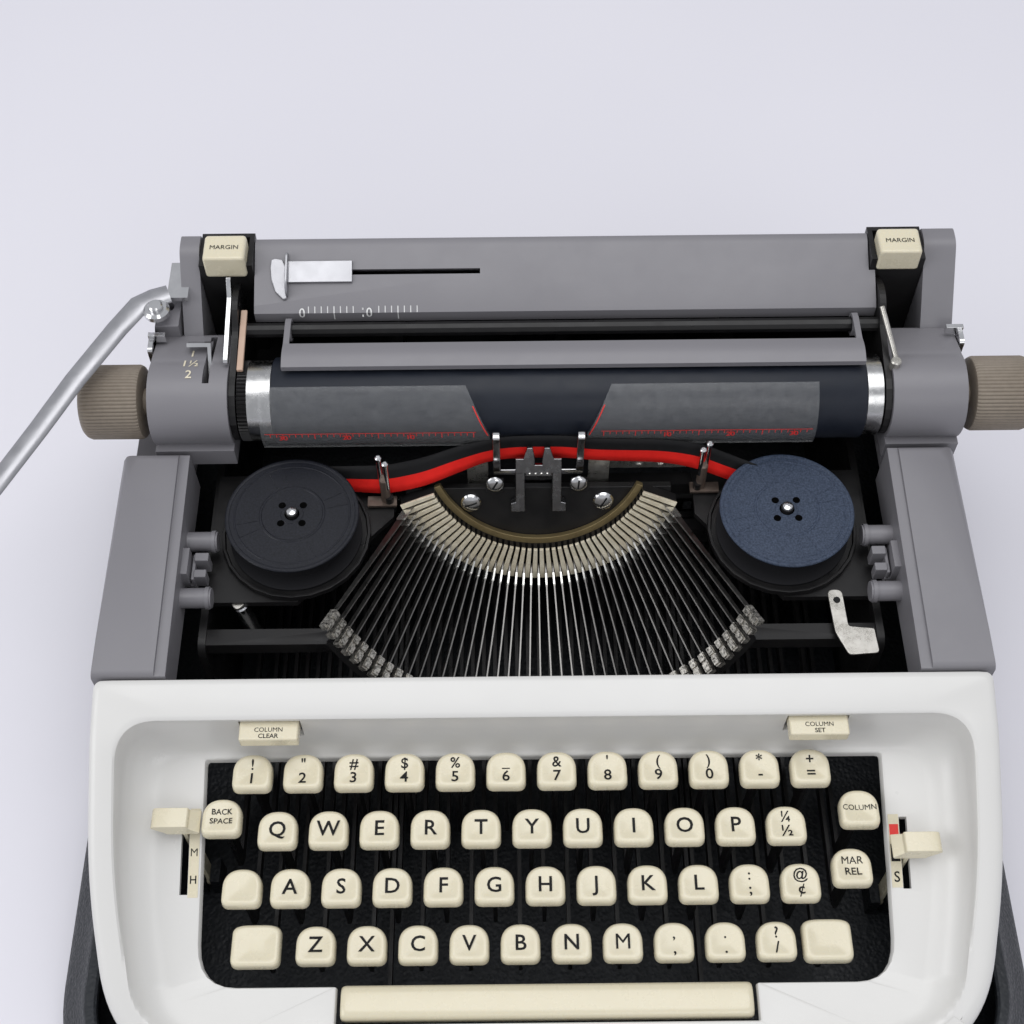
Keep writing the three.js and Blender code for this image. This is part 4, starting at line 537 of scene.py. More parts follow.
# Keys
# Ivory caps with a round far end and a shallow dish are moulded round the flat tops of dark steel
# levers. The rows rise in steps and their legends are engraved and filled with black.
key_pitch, key_width, key_depth, key_height, key_dish = 19.05, 15.0, 14.5, 5.0, 0.75
number_y, top_y, home_y, bottom_y = -62.5, -81.25, -100.0, -118.75
number_z, top_z_keys, home_z, bottom_z = 82.0, 72.0, 62.0, 52.0
cap_rings = ((0.5, -4.95), (0.1, -4.7), (0, -4.2), (0.1, -2.2), (0.28, -1.1), (0.55, -0.5), (0.95, -0.16),
             (1.45, -0.02), (1.9, -0.03), (2.6, -0.16), (3.6, -0.36), (4.9, -0.57), (6.2, -0.7))

key_finish = Finish("ivory_plastic")
key_tone = key_finish.noise(16.0, 3.0)
key_wear = key_finish.noise(120.0, 5.0, 0.7)
key_finish.surface(
    Base_Color=key_finish.mixed(key_tone, (0.655, 0.595, 0.435), (0.70, 0.645, 0.49)),
    Roughness=key_finish.between(key_wear, 0.2, 0.34), Coat_Weight=0.25, Coat_Roughness=0.12,
    Subsurface_Weight=0.06, Subsurface_Radius=(0.0012, 0.0009, 0.0005),
    Normal=key_finish.bump(key_wear, 0.03))
# Black ink for legends and printed fields; the same black also serves as painted shade in screw slots, a plate's
# hole and a tube's bore.
ink_and_shade_finish = one_noise("black_ink_and_painted_shade", (500.0, 3.0), (0.006, 0.006, 0.007), (0.02, 0.02, 0.02), (0.45, 0.6),
                          Specular_IOR_Level=0.15)


def key_cap(x, y, z, width=key_width, depth=key_depth):
    """A cap with its top at z: straight near corners, an arched far end and a dish."""
    arch, power = (7.2, 0.85) if width == key_width else (4.6, 0.55)
    near = curved_outline([(-width / 2, -depth / 2, 3.2), (width / 2, -depth / 2, 3.2),
                           (width / 2, 0, 0), (-width / 2, 0, 0)], 9)
    turns = np.radians(np.linspace(0, 180, 25))
    far = np.column_stack([np.cos(turns), np.sin(turns)])
    far = np.sign(far) * np.abs(far) ** power
    outline = np.concatenate([near[:20], far * (width / 2, arch) + (0, depth / 2 - arch)])
    half = np.array([width / 2, depth / 2])
    rings = []
    for inset, drop in cap_rings:
        ring = outline * (half - inset) / half
        rings.append(np.column_stack([ring, np.full(len(ring), drop)]))
    points, faces = loops(rings)
    return points + np.array([x, y, z]), faces


glyphs = {}


def glyph(text):
    """The flat outline of a word, one millimetre high, with its middle at the origin."""
    if text not in glyphs:
        curve = bpy.data.curves.new("word", "FONT")
        curve.body, curve.align_x, curve.align_y, curve.resolution_u = text, "CENTER", "CENTER", 3
        curve.offset = 0 if "M" in text else 0.012
        holder = bpy.data.objects.new("word", curve)
        bpy.context.collection.objects.link(holder)
        flat = bpy.data.meshes.new_from_object(holder.evaluated_get(bpy.context.evaluated_depsgraph_get()))
        points = np.array([vertex.co[:2] for vertex in flat.vertices])
        faces = [tuple(face.vertices) for face in flat.polygons]
        if sum(face.normal.z for face in flat.polygons) < 0:
            faces = [tuple(reversed(face)) for face in faces]
        glyphs[text] = points, faces
        bpy.data.objects.remove(holder)
        bpy.data.meshes.remove(flat)
    return glyphs[text]


def lettering(name, marks, finish, body, lift=0.05, surface=None):
    """Words (text, x, y, z, size) as one flat mesh that lies on the dished caps or on a surface."""
    points, faces = [], []
    for text, x, y, z, size, *dish in marks:
        outline, shape = glyph(text)
        start = len(points)
        for u, v in outline * size:
            reach = ((u + dish[0]) ** 2 + (v + dish[1]) ** 2) / 30 if dish else 0
            fall = key_dish - 0.05 - min(reach, key_dish) if dish else 0
            points.append((x + u, y + v, (surface(x + u, y + v) if surface else z - fall) + lift))
        faces.extend(tuple(start + index for index in face) for face in shape)
    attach(in_place(name, points, faces, finish), body)


def row_keys(first, count, y, z, legends, upper=None):
    """Places and legends of a row: first is the place of its first key in key pitches."""
    caps, marks = [], []
    for index in range(count):
        x = (first + index) * key_pitch
        caps.append((x, y, z))
        if upper and upper[index]:
            marks.append((legends[index], x, y - 2.9, z, 6.2, 0, -2.9))
            marks.append((upper[index], x, y + 2.6, z, 5.6, 0, 2.6))
        elif legends[index]:
            marks.append((legends[index], x, y - 0.3, z, 8.2, 0, -0.3))
    return caps, marks


number_keys = row_keys(
    -5.75, 12, number_y, number_z, list("1234567890-="), list("!\"#$%_&'()*+"))
top_keys = row_keys(-5.25, 11, top_y, top_z_keys, list("QWERTYUIOP") + ["½"], [""] * 10 + ["¼"])
bottom_keys = row_keys(
    -4.5, 10, bottom_y, bottom_z, list("ZXCVBNM") + [",", ".", "/"], [""] * 7 + [",", ".", "?"])
home_names = list("asdfghjkl") + ["semicolon", "at"]
home_keys = row_keys(-5, 11, home_y, home_z, list("ASDFGHJKL") + [";", "¢"], [""] * 9 + [":", "@"])

key_sets = [
    ("number_row", ("number_row",), number_keys, number_z - key_height),
    ("top_row", ("top_row",), top_keys, top_z_keys - key_height),
    ("bottom_row", ("bottom_row",), bottom_keys, bottom_z - key_height)]
for index, letter in enumerate(home_names):
    x = (-5 + index) * key_pitch
    marks = [mark for mark in home_keys[1] if abs(mark[1] - x) < 1]
    key_sets.append((f"key_{letter}", (f"key_{letter}",), ([(x, home_y, home_z)], marks), home_z - key_height))
for name, share, y, z, words in (
        ("shift_lock_key", -5.95, home_y, home_z, ()),
        ("backspace_key", -6.35, -77.0, 74.0, (("BACK", 1.8), ("SPACE", -1.8))),
        ("tab_key", 6.2, -76.0, 74.0, (("COLUMN", 0.0),)),
        ("margin_release_key", 6.0, -95.8, 66.0, (("MAR", 2.1), ("REL", -2.1)))):
    x = share * key_pitch
    marks = [(word, x, y + up, z, 3.0 if len(word) > 3 else 4.0, 0, up) for word, up in words]
    key_sets.append((name, (name,), ([(x, y, z)], marks), z - key_height))
key_sets.append(("shift_keys", ("shift_key_left", "shift_key_right"), (
    [(share * key_pitch, bottom_y, bottom_z, 18.6, 16) for share in (-5.67, 5.5)], []), bottom_z - key_height))

for body, nodes, (caps, marks), under in key_sets:
    made = solid(f"caps_{body}", *together(*[key_cap(*cap) for cap in caps]), key_finish, body, 28)
    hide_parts(*nodes)
    for node in nodes:
        from_cad(f"levers_{node}", node, dark_finish, body, 0, 30, under + 0.6)
    if marks:
        lettering(f"legends_{body}", marks, ink_and_shade_finish, body)

# Space bar
# One long ivory bar lies in the notch of the key well, on two levers. Its top is crowned and its
# edges are round.
bar_y, bar_z, bar_length = -138.5, 47.0, 152.0
bar_side = ((-5.9, -5.9), (-6.4, -5.4), (-6.5, -3.0), (-6.1, -1.5), (-5.0, -0.55), (-3.0, -0.12))
bar_profile = [*bar_side, (0, 0), *[(-y, z) for y, z in reversed(bar_side)]]
bar_ends = []
for share in np.linspace(-1, 1, 41):
    x = math.sin(share * math.pi / 2) * bar_length / 2
    end = min(1.0, (1 - abs(x) / (bar_length / 2)) * 40)
    narrow = 1.2 * (1 - math.sqrt(max(0.0, 1 - (1 - end) ** 2)))
    bar_ends.append(np.array([
        (x, bar_y + y * (1 - narrow / 6.5), bar_z + z - narrow * (1 if z > -3 else -0.2))
        for y, z in bar_profile]))
space_bar = solid("space_bar_cap", *loops(bar_ends), key_finish, "space_bar", 40)
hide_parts("space_bar")
from_cad("space_bar_levers", "space_bar", dark_finish, "space_bar", 0, 30, bar_z - 5.4)

# Side levers and column keys
# The touch lever and the ribbon selector have ivory thumb pieces on flat steel arms, which swing
# in slots beside small printed scales; each lever is drawn as one ivory piece. Two ivory column keys
# stand in notches of the mask's edge.
for node, side, thumb_z in (("touch_lever", -1, 72.5), ("ribbon_selector", 1, 70.0)):
    lever = from_cad(f"{node}_piece", node, key_finish, node, 0, 40)
    thumb = [vertex for vertex in lever.data.vertices if vertex.co.z > thumb_z * MM]
    thumb_y = sum(vertex.co.y for vertex in thumb) / len(thumb)
    for vertex in thumb:
        outward = side * (vertex.co.x / MM - MIDDLE.x) - SIDE_LEVER_X
        reach = outward * 1.2 + 3.5 if outward > 0 else outward * 0.4
        vertex.co.x = (MIDDLE.x + side * (SIDE_LEVER_X + reach)) * MM
        vertex.co.y = thumb_y + (vertex.co.y - thumb_y) * 0.85
    bevelled(lever, 0.8, 3, 40)
    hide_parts(node)
red_finish = one_noise("print_red", (600.0, 3.0), (0.68, 0.02, 0.016), (0.78, 0.035, 0.025), (0.4, 0.55))


def floor_patch(x0, x1, y0, y1, lift=0.06):
    """A flat printed field on the recess floor."""
    points = [(x, y, recess_z(y) + lift) for x, y in ((x0, y0), (x1, y0), (x1, y1), (x0, y1))]
    return points, [(0, 1, 2, 3)]


def on_floor(x, y):
    return recess_z(y)


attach(in_place("touch_strip", *floor_patch(-134.0, -130.2, -102.5, -71.5), key_finish), BASE)
lettering("touch_legend", [
    (word, -132.1, y, 0, 4.0) for word, y in (("L", -75.5), ("M", -87.0), ("H", -96.5))],
    ink_and_shade_finish, BASE, 0.12, on_floor)
solid("selector_strip", *floor_patch(130.0, 134.0, -101.5, -76.0), key_finish, BASE)
solid("selector_red", *floor_patch(130.3, 133.7, -84.0, -79.5, 0.1), red_finish, BASE)
solid("selector_black", *floor_patch(130.3, 133.7, -92.5, -86.5, 0.1), ink_and_shade_finish, BASE)
lettering("selector_legend", [("S", 132.0, -98.0, 0, 5.2)], ink_and_shade_finish, BASE, 0.14, on_floor)

for word, side, label in (("clear", -1, "CLEAR"), ("set", 1, "SET")):
    column_cap = box(*sorted((side * 91.0, side * 113.0)), -56.6, -47.5, 91.2, 97.0)
    column_key = bevelled(solid(f"column_{word}_piece", *column_cap, key_finish, f"column_{word}_key"), 0.8, 3)
    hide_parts(f"column_{word}_key")
    lettering(f"column_{word}_legend", [
        (text, side * 102.0, y, 97.05, 2.5) for text, y in (("COLUMN", -52.6), (label, -55.1))],
        ink_and_shade_finish, f"column_{word}_key")

# Segment and typebars
# The segment is a slotted casting with a warm plated face and a plain brass ring inside. In each
# slot a thin steel typebar turns on one bent wire and carries a slug with two raised types.
segment_place = moved_to((0, 60.6, 112)) @ Matrix.Rotation(math.radians(68), 4, "X")
pivot_radius, bar_count, bar_spread, bar_swing = 58.0, 43, 65.0, 120.0

plated_finish = Finish("warm_plated_casting")
plated_pits = plated_finish.noise(420.0, 6.0, 0.75)
plated_stain = plated_finish.noise(55.0, 4.0)
plated_finish.surface(
    Base_Color=plated_finish.mixed(
        plated_finish.between(plated_pits + plated_stain * 0.7 - 0.35, 0.0, 1.0),
        (0.70, 0.62, 0.46), (0.90, 0.84, 0.68)),
    Roughness=plated_finish.between(plated_pits, 0.34, 0.55), Metallic=0.35,
    Normal=plated_finish.bump(plated_pits, 0.25, 0.0001))
brass_finish = one_noise(
    "brass_ring", (190.0, 5.0, 0.7), (0.20, 0.15, 0.075), (0.33, 0.26, 0.13), (0.34, 0.55), Metallic=0.7)
bar_finish = one_noise(
    "typebar_steel", (300.0, 5.0, 0.7), (0.13, 0.125, 0.12), (0.30, 0.29, 0.28), (0.25, 0.42), Metallic=0.95)
slug_finish = Finish("type_slug_steel")
slug_ink = slug_finish.noise(900.0, 5.0, 0.75)
slug_finish.surface(
    Base_Color=slug_finish.ramp(slug_ink, (0.36, (0.05, 0.048, 0.045)), (0.58, (0.72, 0.69, 0.63))),
    Roughness=slug_finish.between(slug_ink, 0.2, 0.5), Metallic=0.85)


def row_tree():
    """Geometry Nodes that set out like pieces along a line or round an arc."""
    tree = bpy.data.node_groups.new("row_of_pieces", "GeometryNodeTree")
    face = tree.interface
    sockets = {}
    for label, kind in (("Piece", "NodeSocketObject"), ("Count", "NodeSocketInt"),
                        ("First angle", "NodeSocketFloat"), ("Angle step", "NodeSocketFloat"),
                        ("Arm", "NodeSocketVector"), ("Line step", "NodeSocketVector"),
                        ("Finish", "NodeSocketMaterial")):
        sockets[label] = face.new_socket(label, in_out="INPUT", socket_type=kind).identifier
    face.new_socket("Pieces", in_out="OUTPUT", socket_type="NodeSocketGeometry")
    asked = tree.nodes.new("NodeGroupInput").outputs

    def add(kind, inputs, **settings):
        node = tree.nodes.new(kind)
        for key, value in settings.items():
            setattr(node, key, value)
        for key, value in inputs.items():
            if isinstance(value, bpy.types.NodeSocket):
                tree.links.new(value, node.inputs[key])
            else:
                node.inputs[key].default_value = value
        return node.outputs

    number = add("GeometryNodeInputIndex", {})[0]
    turned = add("ShaderNodeMath", {0: number, 1: asked["Angle step"], 2: asked["First angle"]},
                 operation="MULTIPLY_ADD")[0]
    turn = add("FunctionNodeAxisAngleToRotation", {"Axis": (0, 0, 1), "Angle": turned})[0]
    arm = add("FunctionNodeRotateVector", {"Vector": asked["Arm"], "Rotation": turn})[0]
    along = add("ShaderNodeVectorMath", {0: asked["Line step"], "Scale": number}, operation="SCALE")[0]
    place = add("ShaderNodeVectorMath", {0: arm, 1: along}, operation="ADD")[0]
    points = add("GeometryNodePoints", {"Count": asked["Count"], "Position": place})[0]
    unit = add("GeometryNodeObjectInfo", {"Object": asked["Piece"]})["Geometry"]
    copies = add("GeometryNodeInstanceOnPoints", {"Points": points, "Instance": unit, "Rotation": turn})[0]
    solid_copies = add("GeometryNodeRealizeInstances", {"Geometry": copies})[0]
    finished = add("GeometryNodeSetMaterial", {"Geometry": solid_copies, "Material": asked["Finish"]})[0]
    tree.links.new(finished, tree.nodes.new("NodeGroupOutput").inputs[0])
    return tree, sockets


rows, row_sockets = row_tree()


def row_of(name, shape, finish, body, count, first=0.0, step=0.0, arm=(0, 0, 0), line=(0, 0, 0), place=None):
    """Pieces of one shape, set out in degrees and millimetres, as one plain mesh."""
    piece = new_object("unit_" + name, np.array(shape[0]) * MM, shape[1], finish.material)
    turned_right(piece)
    made = new_object(name, [], [], finish.material)
    grid = made.modifiers.new("row", "NODES")
    grid.node_group = rows
    for label, value in (("Piece", piece), ("Count", count), ("First angle", math.radians(first)),
                         ("Angle step", math.radians(step)), ("Arm", [v * MM for v in arm]),
                         ("Line step", [v * MM for v in line]), ("Finish", finish.material)):
        grid[row_sockets[label]] = value
    made.update_tag()
    settled(made)
    bpy.data.objects.remove(piece)
    made.data.transform(place or moved_to())
    smooth(made, 30)
    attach(made, body)
    return made


def drawn_out(outline, place, low, high):
    """A flat outline drawn out between two positions; place sets each point in space."""
    count = len(outline)
    points = [place(u, v, along) for along in (low, high) for u, v in outline]
    faces = [(i, (i + 1) % count, (i + 1) % count + count, i + count) for i in range(count)]
    return points, faces + [tuple(reversed(range(count))), tuple(range(count, 2 * count))]


def prism_x(outline, x0, x1):
    """An outline in (y, z), drawn out along X."""
    return drawn_out(outline, lambda y, z, x: (x, y, z), x0, x1)


def flat_plate(outline, z0, z1):
    """An outline in (x, y) between two heights."""
    return drawn_out(outline, lambda x, y, z: (x, y, z), z0, z1)


def swung(shape, degrees):
    """A shape turned round the X axis."""
    turn = np.array(Matrix.Rotation(math.radians(degrees), 3, "X"))
    return np.array(shape[0]) @ turn.T, shape[1]


def arc_band(inner, outer, low, high, spread, steps):
    """A band round the segment's centre, open at the rear, in the basket's own frame."""
    rings = []
    for turn in np.linspace(-math.radians(spread), math.radians(spread), steps):
        s, c = math.sin(turn), -math.cos(turn)
        rings.append(np.array([(inner * s, inner * c, low), (outer * s, outer * c, low),
                               (outer * s, outer * c, high), (inner * s, inner * c, high)]))
    return loops(rings)


def in_basket(name, shape, finish, width=0.0):
    """A piece given in the basket's tilted frame."""
    made = new_object(name, np.array(shape[0]) * MM, shape[1], finish.material)
    made.data.transform(segment_place)
    turned_right(made)
    if width:
        bevelled(made, width, 2)
    smooth(made, 30)
    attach(made, "type_basket")
    return made


in_basket("segment_body", arc_band(46.5, 60.8, -5.2, -2.6, 66.9, 90), dark_finish)
in_basket("segment_ring", arc_band(43.8, 46.6, -5.1, -2.5, 67.4, 90), brass_finish, width=0.2)


def land(inner, outer, floor, front_top, back_top):
    """One land between two slots, from the ring out to the pivot wire, with a sloping top."""
    outline = [(-inner, -46.5), (inner, -46.5), (outer, -61.6), (-outer, -61.6)]
    points = [(x, y, floor) for x, y in outline]
    points += [(x, y, front_top if y > -50 else back_top) for x, y in outline]
    return points, [(0, 1, 5, 4), (1, 2, 6, 5), (2, 3, 7, 6), (3, 0, 4, 7), (3, 2, 1, 0), (4, 5, 6, 7)]


bar_step = 2 * bar_spread / (bar_count - 1)
for name, shape, finish in (("segment_lands", land(0.78, 1.13, 1.0, 2.5, 1.9), plated_finish),
                            ("segment_land_roots", land(0.7, 1.05, -5.0, 1.4, 1.3), dark_finish)):
    lands = row_of(name, shape, finish, "type_basket", bar_count + 1, -bar_spread - bar_step / 2, bar_step,
                   place=segment_place)
    bevelled(lands, 0.16, 2)
    if name == "segment_lands":
        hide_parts("segment")

bar_plate = prism_x([
    (-2.1, -0.8), (-1.2, -1.9), (0.3, -2.2), (3, -2.0), (9, -1.9), (30, -1.5), (52, -1.3), (62, -1.2), (62, 0.9),
    (52, 1.0), (30, 1.2), (14, 1.6), (7, 1.9), (4.4, 1.6), (2.6, 0.4), (-1.0, 0.4), (-2.1, 0.2)], -0.28, 0.28)
# The typebars' elbows get a bright steel colour far lighter than the bars' own steel: a painted highlight where
# light catches them just outside the segment. The guide dots take the same bright colour.
bright_steel_and_highlight_finish = one_noise(
    "bright_steel_and_painted_highlight", (220.0, 4.0), (0.6, 0.59, 0.56), (0.8, 0.79, 0.76), (0.15, 0.35), Metallic=0.9)
elbow = prism_x([(3.2, -2.3), (8.4, -2.15), (9.2, -1.6), (9.2, 1.7), (8.4, 2.3), (3.2, 2.4)], -0.38, 0.38)
slug_shape = together(box(-1.3, 1.3, 61.6, 70.4, -2.3, 0.9), box(-0.8, 0.8, 61.9, 70.1, 0.9, 1.4),
                      box(-1.2, 1.2, 62.2, 65.2, -3.2, -2.3), box(-1.2, 1.2, 66.6, 69.8, -3.2, -2.3))
for body, groups in (("type_basket", ((21, -bar_spread), (21, bar_step))), ("typebar_h", ((1, 0.0),))):
    for part, shape, finish in (("typebars", bar_plate, bar_finish), ("slugs", slug_shape, slug_finish),
                                ("elbows", elbow, bright_steel_and_highlight_finish)):
        for number, (count, first) in enumerate(groups):
            made = row_of(f"{part}_{body}_{number}", swung(shape, bar_swing), finish, body, count, first,
                          bar_step, (0, -pivot_radius, 0), place=segment_place)
            if part == "typebars" and number == 0:
                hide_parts("typebars" if body == "type_basket" else "typebar_h")
in_basket("pivot_wire", arc_band(57.4, 58.6, -0.6, 0.6, 66.5, 60), bar_finish)

# Basket plate and type guide
# A black plate closes the basket behind the segment. The polished type guide stands on it with two
# legs, and domed and slotted screws hold both.
plate = from_cad("basket_plate", "type_basket", dark_finish, "type_basket", 0.3, 30)
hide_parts("type_basket")
chrome_finish = one_noise(
    "polished_chrome", (140.0, 5.0, 0.7), (0.62, 0.62, 0.63), (0.74, 0.74, 0.75), (0.08, 0.24), Metallic=1.0)
guide_finish = one_noise(
    "dark_chrome", (240.0, 5.0, 0.7), (0.16, 0.16, 0.17), (0.38, 0.38, 0.39), (0.12, 0.34), Metallic=1.0)

throat_side = [(5.4, -11.0), (5.4, -9.6), (9.4, -9.6), (9.4, -2.6), (6.2, -2.6), (4.6, 2.6), (2.4, 2.6),
               (1.5, -2.8), (1.5, -5.6)]
throat = [*throat_side, *[(-x, y) for x, y in reversed(throat_side)]]
guide_legs = [flat_plate([(side * x, y) for x, y in (
    (5.6, -9.2), (9.4, -9.2), (9.4, -24.2), (11.4, -24.8), (11.4, -29.0), (5.6, -29.0))], -4.9, -0.6)
    for side in (-1, 1)]
guide = in_basket("guide_throat", together(flat_plate(throat, -2.0, 0.0), *guide_legs), guide_finish, width=0.35)
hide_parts("type_guide")
row_of("guide_dots", lathe(((0, 0.55), (0.35, 0.5), (0.6, 0.25)), 14), bright_steel_and_highlight_finish, "type_basket", 4,
       arm=(-3.6, -9.6, -0.1), line=(2.4, 0, 0), place=segment_place)


def screw(radius, height, turn):
    """A domed head and, as a dark field of painted shade that lies on it, its slot."""
    c, s = math.cos(math.radians(turn)), math.sin(math.radians(turn))
    points, faces = lathe(((0, radius), (height * 0.35, radius), (height * 0.7, radius * 0.86),
                           (height * 0.93, radius * 0.55), (height, radius * 0.2)), 28)
    low = height * 0.98
    groove = [(x * c - y * s, x * s + y * c, z) for z in (low, low + 0.06)
              for y in (-0.375, 0.375) for x in (-radius * 0.62, radius * 0.62)]
    return (points, faces), (groove, box(0, 1, 0, 1, 0, 1)[1])


for number, (x, y, z, radius, height, turn) in enumerate((
        (-28, -27, -5.2, 4.3, 2.1, 20), (27, -26.6, -5.2, 4.3, 2.1, 60),
        (-17.9, -15.8, -1.9, 3.5, 1.4, 60), (16.4, -15.8, -1.9, 3.5, 1.4, 85))):
    # Each screw's slot is a flat dark field of painted shade.
    for name, (points, faces), finish in zip(
            ("screw", "screw_slot"), screw(radius, height, turn), (chrome_finish, ink_and_shade_finish)):
        in_basket(f"basket_{name}_{number}", (np.array(points) + (x, y, z), faces), finish)
ears = together(box(-21.5, -14.2, -19.8, -14.6, -4.9, -1.9), box(13.2, 20.5, -19.6, -14.4, -4.9, -1.9))
in_basket("guide_ears", ears, dark_finish, width=0.4)

# Ribbon vibrator and ribbon
# Two hooked chrome fingers lift the ribbon before the platen. The ribbon is inked cotton tape,
# black over red, stretched between the spools, past two posts and behind the fingers.
vibrator = from_cad("vibrator_fingers", "ribbon_vibrator", chrome_finish, "ribbon_vibrator", 0.4, 30)
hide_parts("ribbon_vibrator")
ribbon_route = (
    (-88.5, 61.2, 95.6, 12), (-74, 60.0, 96.0, 26), (-61.6, 59.2, 96.8, 36), (-47, 59.8, 101.0, 36),
    (-33, 61.4, 107.2, 24), (-21, 63.2, 110.8, 8), (-12, 64.5, 111.2, 10), (0, 64.7, 111.2, 10),
    (12, 64.5, 111.2, 10), (21, 63.2, 111.0, 8), (34, 62.8, 110.8, 10), (48, 62.6, 110.6, 12),
    (59, 62.2, 109.0, 16), (67.5, 62.0, 106.0, 22), (78, 60.6, 101.0, 22), (90.6, 58.6, 96.8, 10))
ribbon_width, ribbon_thick, across = 12.4, 0.14, 5
tape_finish = Finish("inked_ribbon")
tape_uv = tape_finish.node("ShaderNodeUVMap", {"uv_map": "strip"})
tape_upper = tape_finish.node("ShaderNodeSeparateXYZ", {}, {"Vector": tape_uv}, 1) > 0.5
tape_weave = tape_finish.node("ShaderNodeTexWave", {"wave_type": "BANDS", "bands_direction": "Y"}, {
    "Vector": tape_uv, "Scale": 12.0, "Distortion": 0.6})
tape_worn = tape_finish.noise(350.0, 3.0)
tape_finish.surface(
    Base_Color=tape_finish.mixed(
        tape_upper, tape_finish.mixed(tape_worn, (0.66, 0.012, 0.010), (0.82, 0.022, 0.015)),
        tape_finish.mixed(tape_worn, (0.004, 0.004, 0.005), (0.012, 0.012, 0.013))),
    Specular_IOR_Level=0.2, Roughness=tape_finish.between(tape_worn, 0.55, 0.75),
    Normal=tape_finish.bump(tape_weave, 0.25, 0.00008))


def ribbon_path():
    """Points (x, y, z, lean) close together, with the route's corners rounded."""
    route = np.array(ribbon_route, float)
    reach = np.concatenate([[0], np.cumsum(np.linalg.norm(np.diff(route[:, :3], axis=0), axis=1))])
    fine = np.linspace(0, reach[-1], 150)
    smooth_route = []
    for column in range(4):
        values = np.interp(fine, reach, route[:, column])
        smooth_route.append(np.convolve(np.pad(values, 4, "edge"), np.ones(9) / 9, "valid"))
    return np.stack(smooth_route, axis=1)


path = ribbon_path()
tape_points, tape_faces = [], []
for step, (x, y, z, lean) in enumerate(path):
    lean = math.radians(lean)
    for level in range(across):
        v = level / (across - 1) - 0.5
        tape_points.append((x, y + v * ribbon_width * math.sin(lean), z + v * ribbon_width * math.cos(lean)))
    if step:
        first = (step - 1) * across
        tape_faces.extend((first + i, first + across + i, first + across + i + 1, first + i + 1)
                          for i in range(across - 1))
ribbon = in_place("ribbon_strip", tape_points, tape_faces, tape_finish)
strip = ribbon.data.uv_layers.new(name="strip")
for corner in ribbon.data.loops:
    step, level = divmod(corner.vertex_index, across)
    strip.data[corner.index].uv = (step / 4, level / (across - 1))
thick = ribbon.modifiers.new("cloth", "SOLIDIFY")
thick.thickness, thick.offset = ribbon_thick * MM, 0
smooth(ribbon, 60)
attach(ribbon, BASE)
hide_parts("ribbon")

# Spools and cups
# Each ribbon spool has two moulded flanges with raised rings on a drive pin, and stands in a cup of
# black enamelled steel. The left one is nearly black, the right one slate blue with a fine speckle.
spool_x, spool_y, spool_top = 99.0, 38.6, 103.2


def turned_ring(profile, steps, centre):
    """A turned body with a bore: the profile closes on itself."""
    return lathe([*profile, profile[0]], steps, centre, capped=False)


flange = [(101.9, 3.0), (101.9, 6.0), (102.0, 26.3), (102.3, 26.8), (102.9, 26.8), (103.25, 26.4), (103.3, 25.9),
          (103.2, 25.3), (103.0, 25.1), (103.0, 23.5), (103.16, 23.3), (103.16, 22.9), (103.0, 22.7),
          (103.0, 13.3), (103.22, 13.0), (103.22, 12.4), (103.0, 12.1), (103.0, 4.6), (103.2, 4.4), (103.2, 3.0)]
# The holes in the spool flanges are not cut: near-black discs of painted shade lie in them, with a faint noise
# in their colour.
hole_shade_finish = Finish("painted_hole_shade")
hole_shade_grain = hole_shade_finish.noise(300.0, 3.0)
hole_shade_finish.surface(
    Base_Color=hole_shade_finish.mixed(hole_shade_grain, (0.001, 0.001, 0.001), (0.004, 0.004, 0.004)), Roughness=0.9,
    Specular_IOR_Level=0.0)
roll_finish = Finish("wound_ribbon")
roll_layers = roll_finish.node("ShaderNodeTexWave", {"wave_type": "BANDS", "bands_direction": "Z"}, {
    "Vector": roll_finish.place(), "Scale": 30.0, "Distortion": 1.5})
roll_finish.surface(
    Base_Color=roll_finish.mixed(roll_layers, (0.004, 0.004, 0.005), (0.012, 0.012, 0.014)), Roughness=0.8,
    Specular_IOR_Level=0.2, Normal=roll_finish.bump(roll_layers, 0.3, 0.0001))
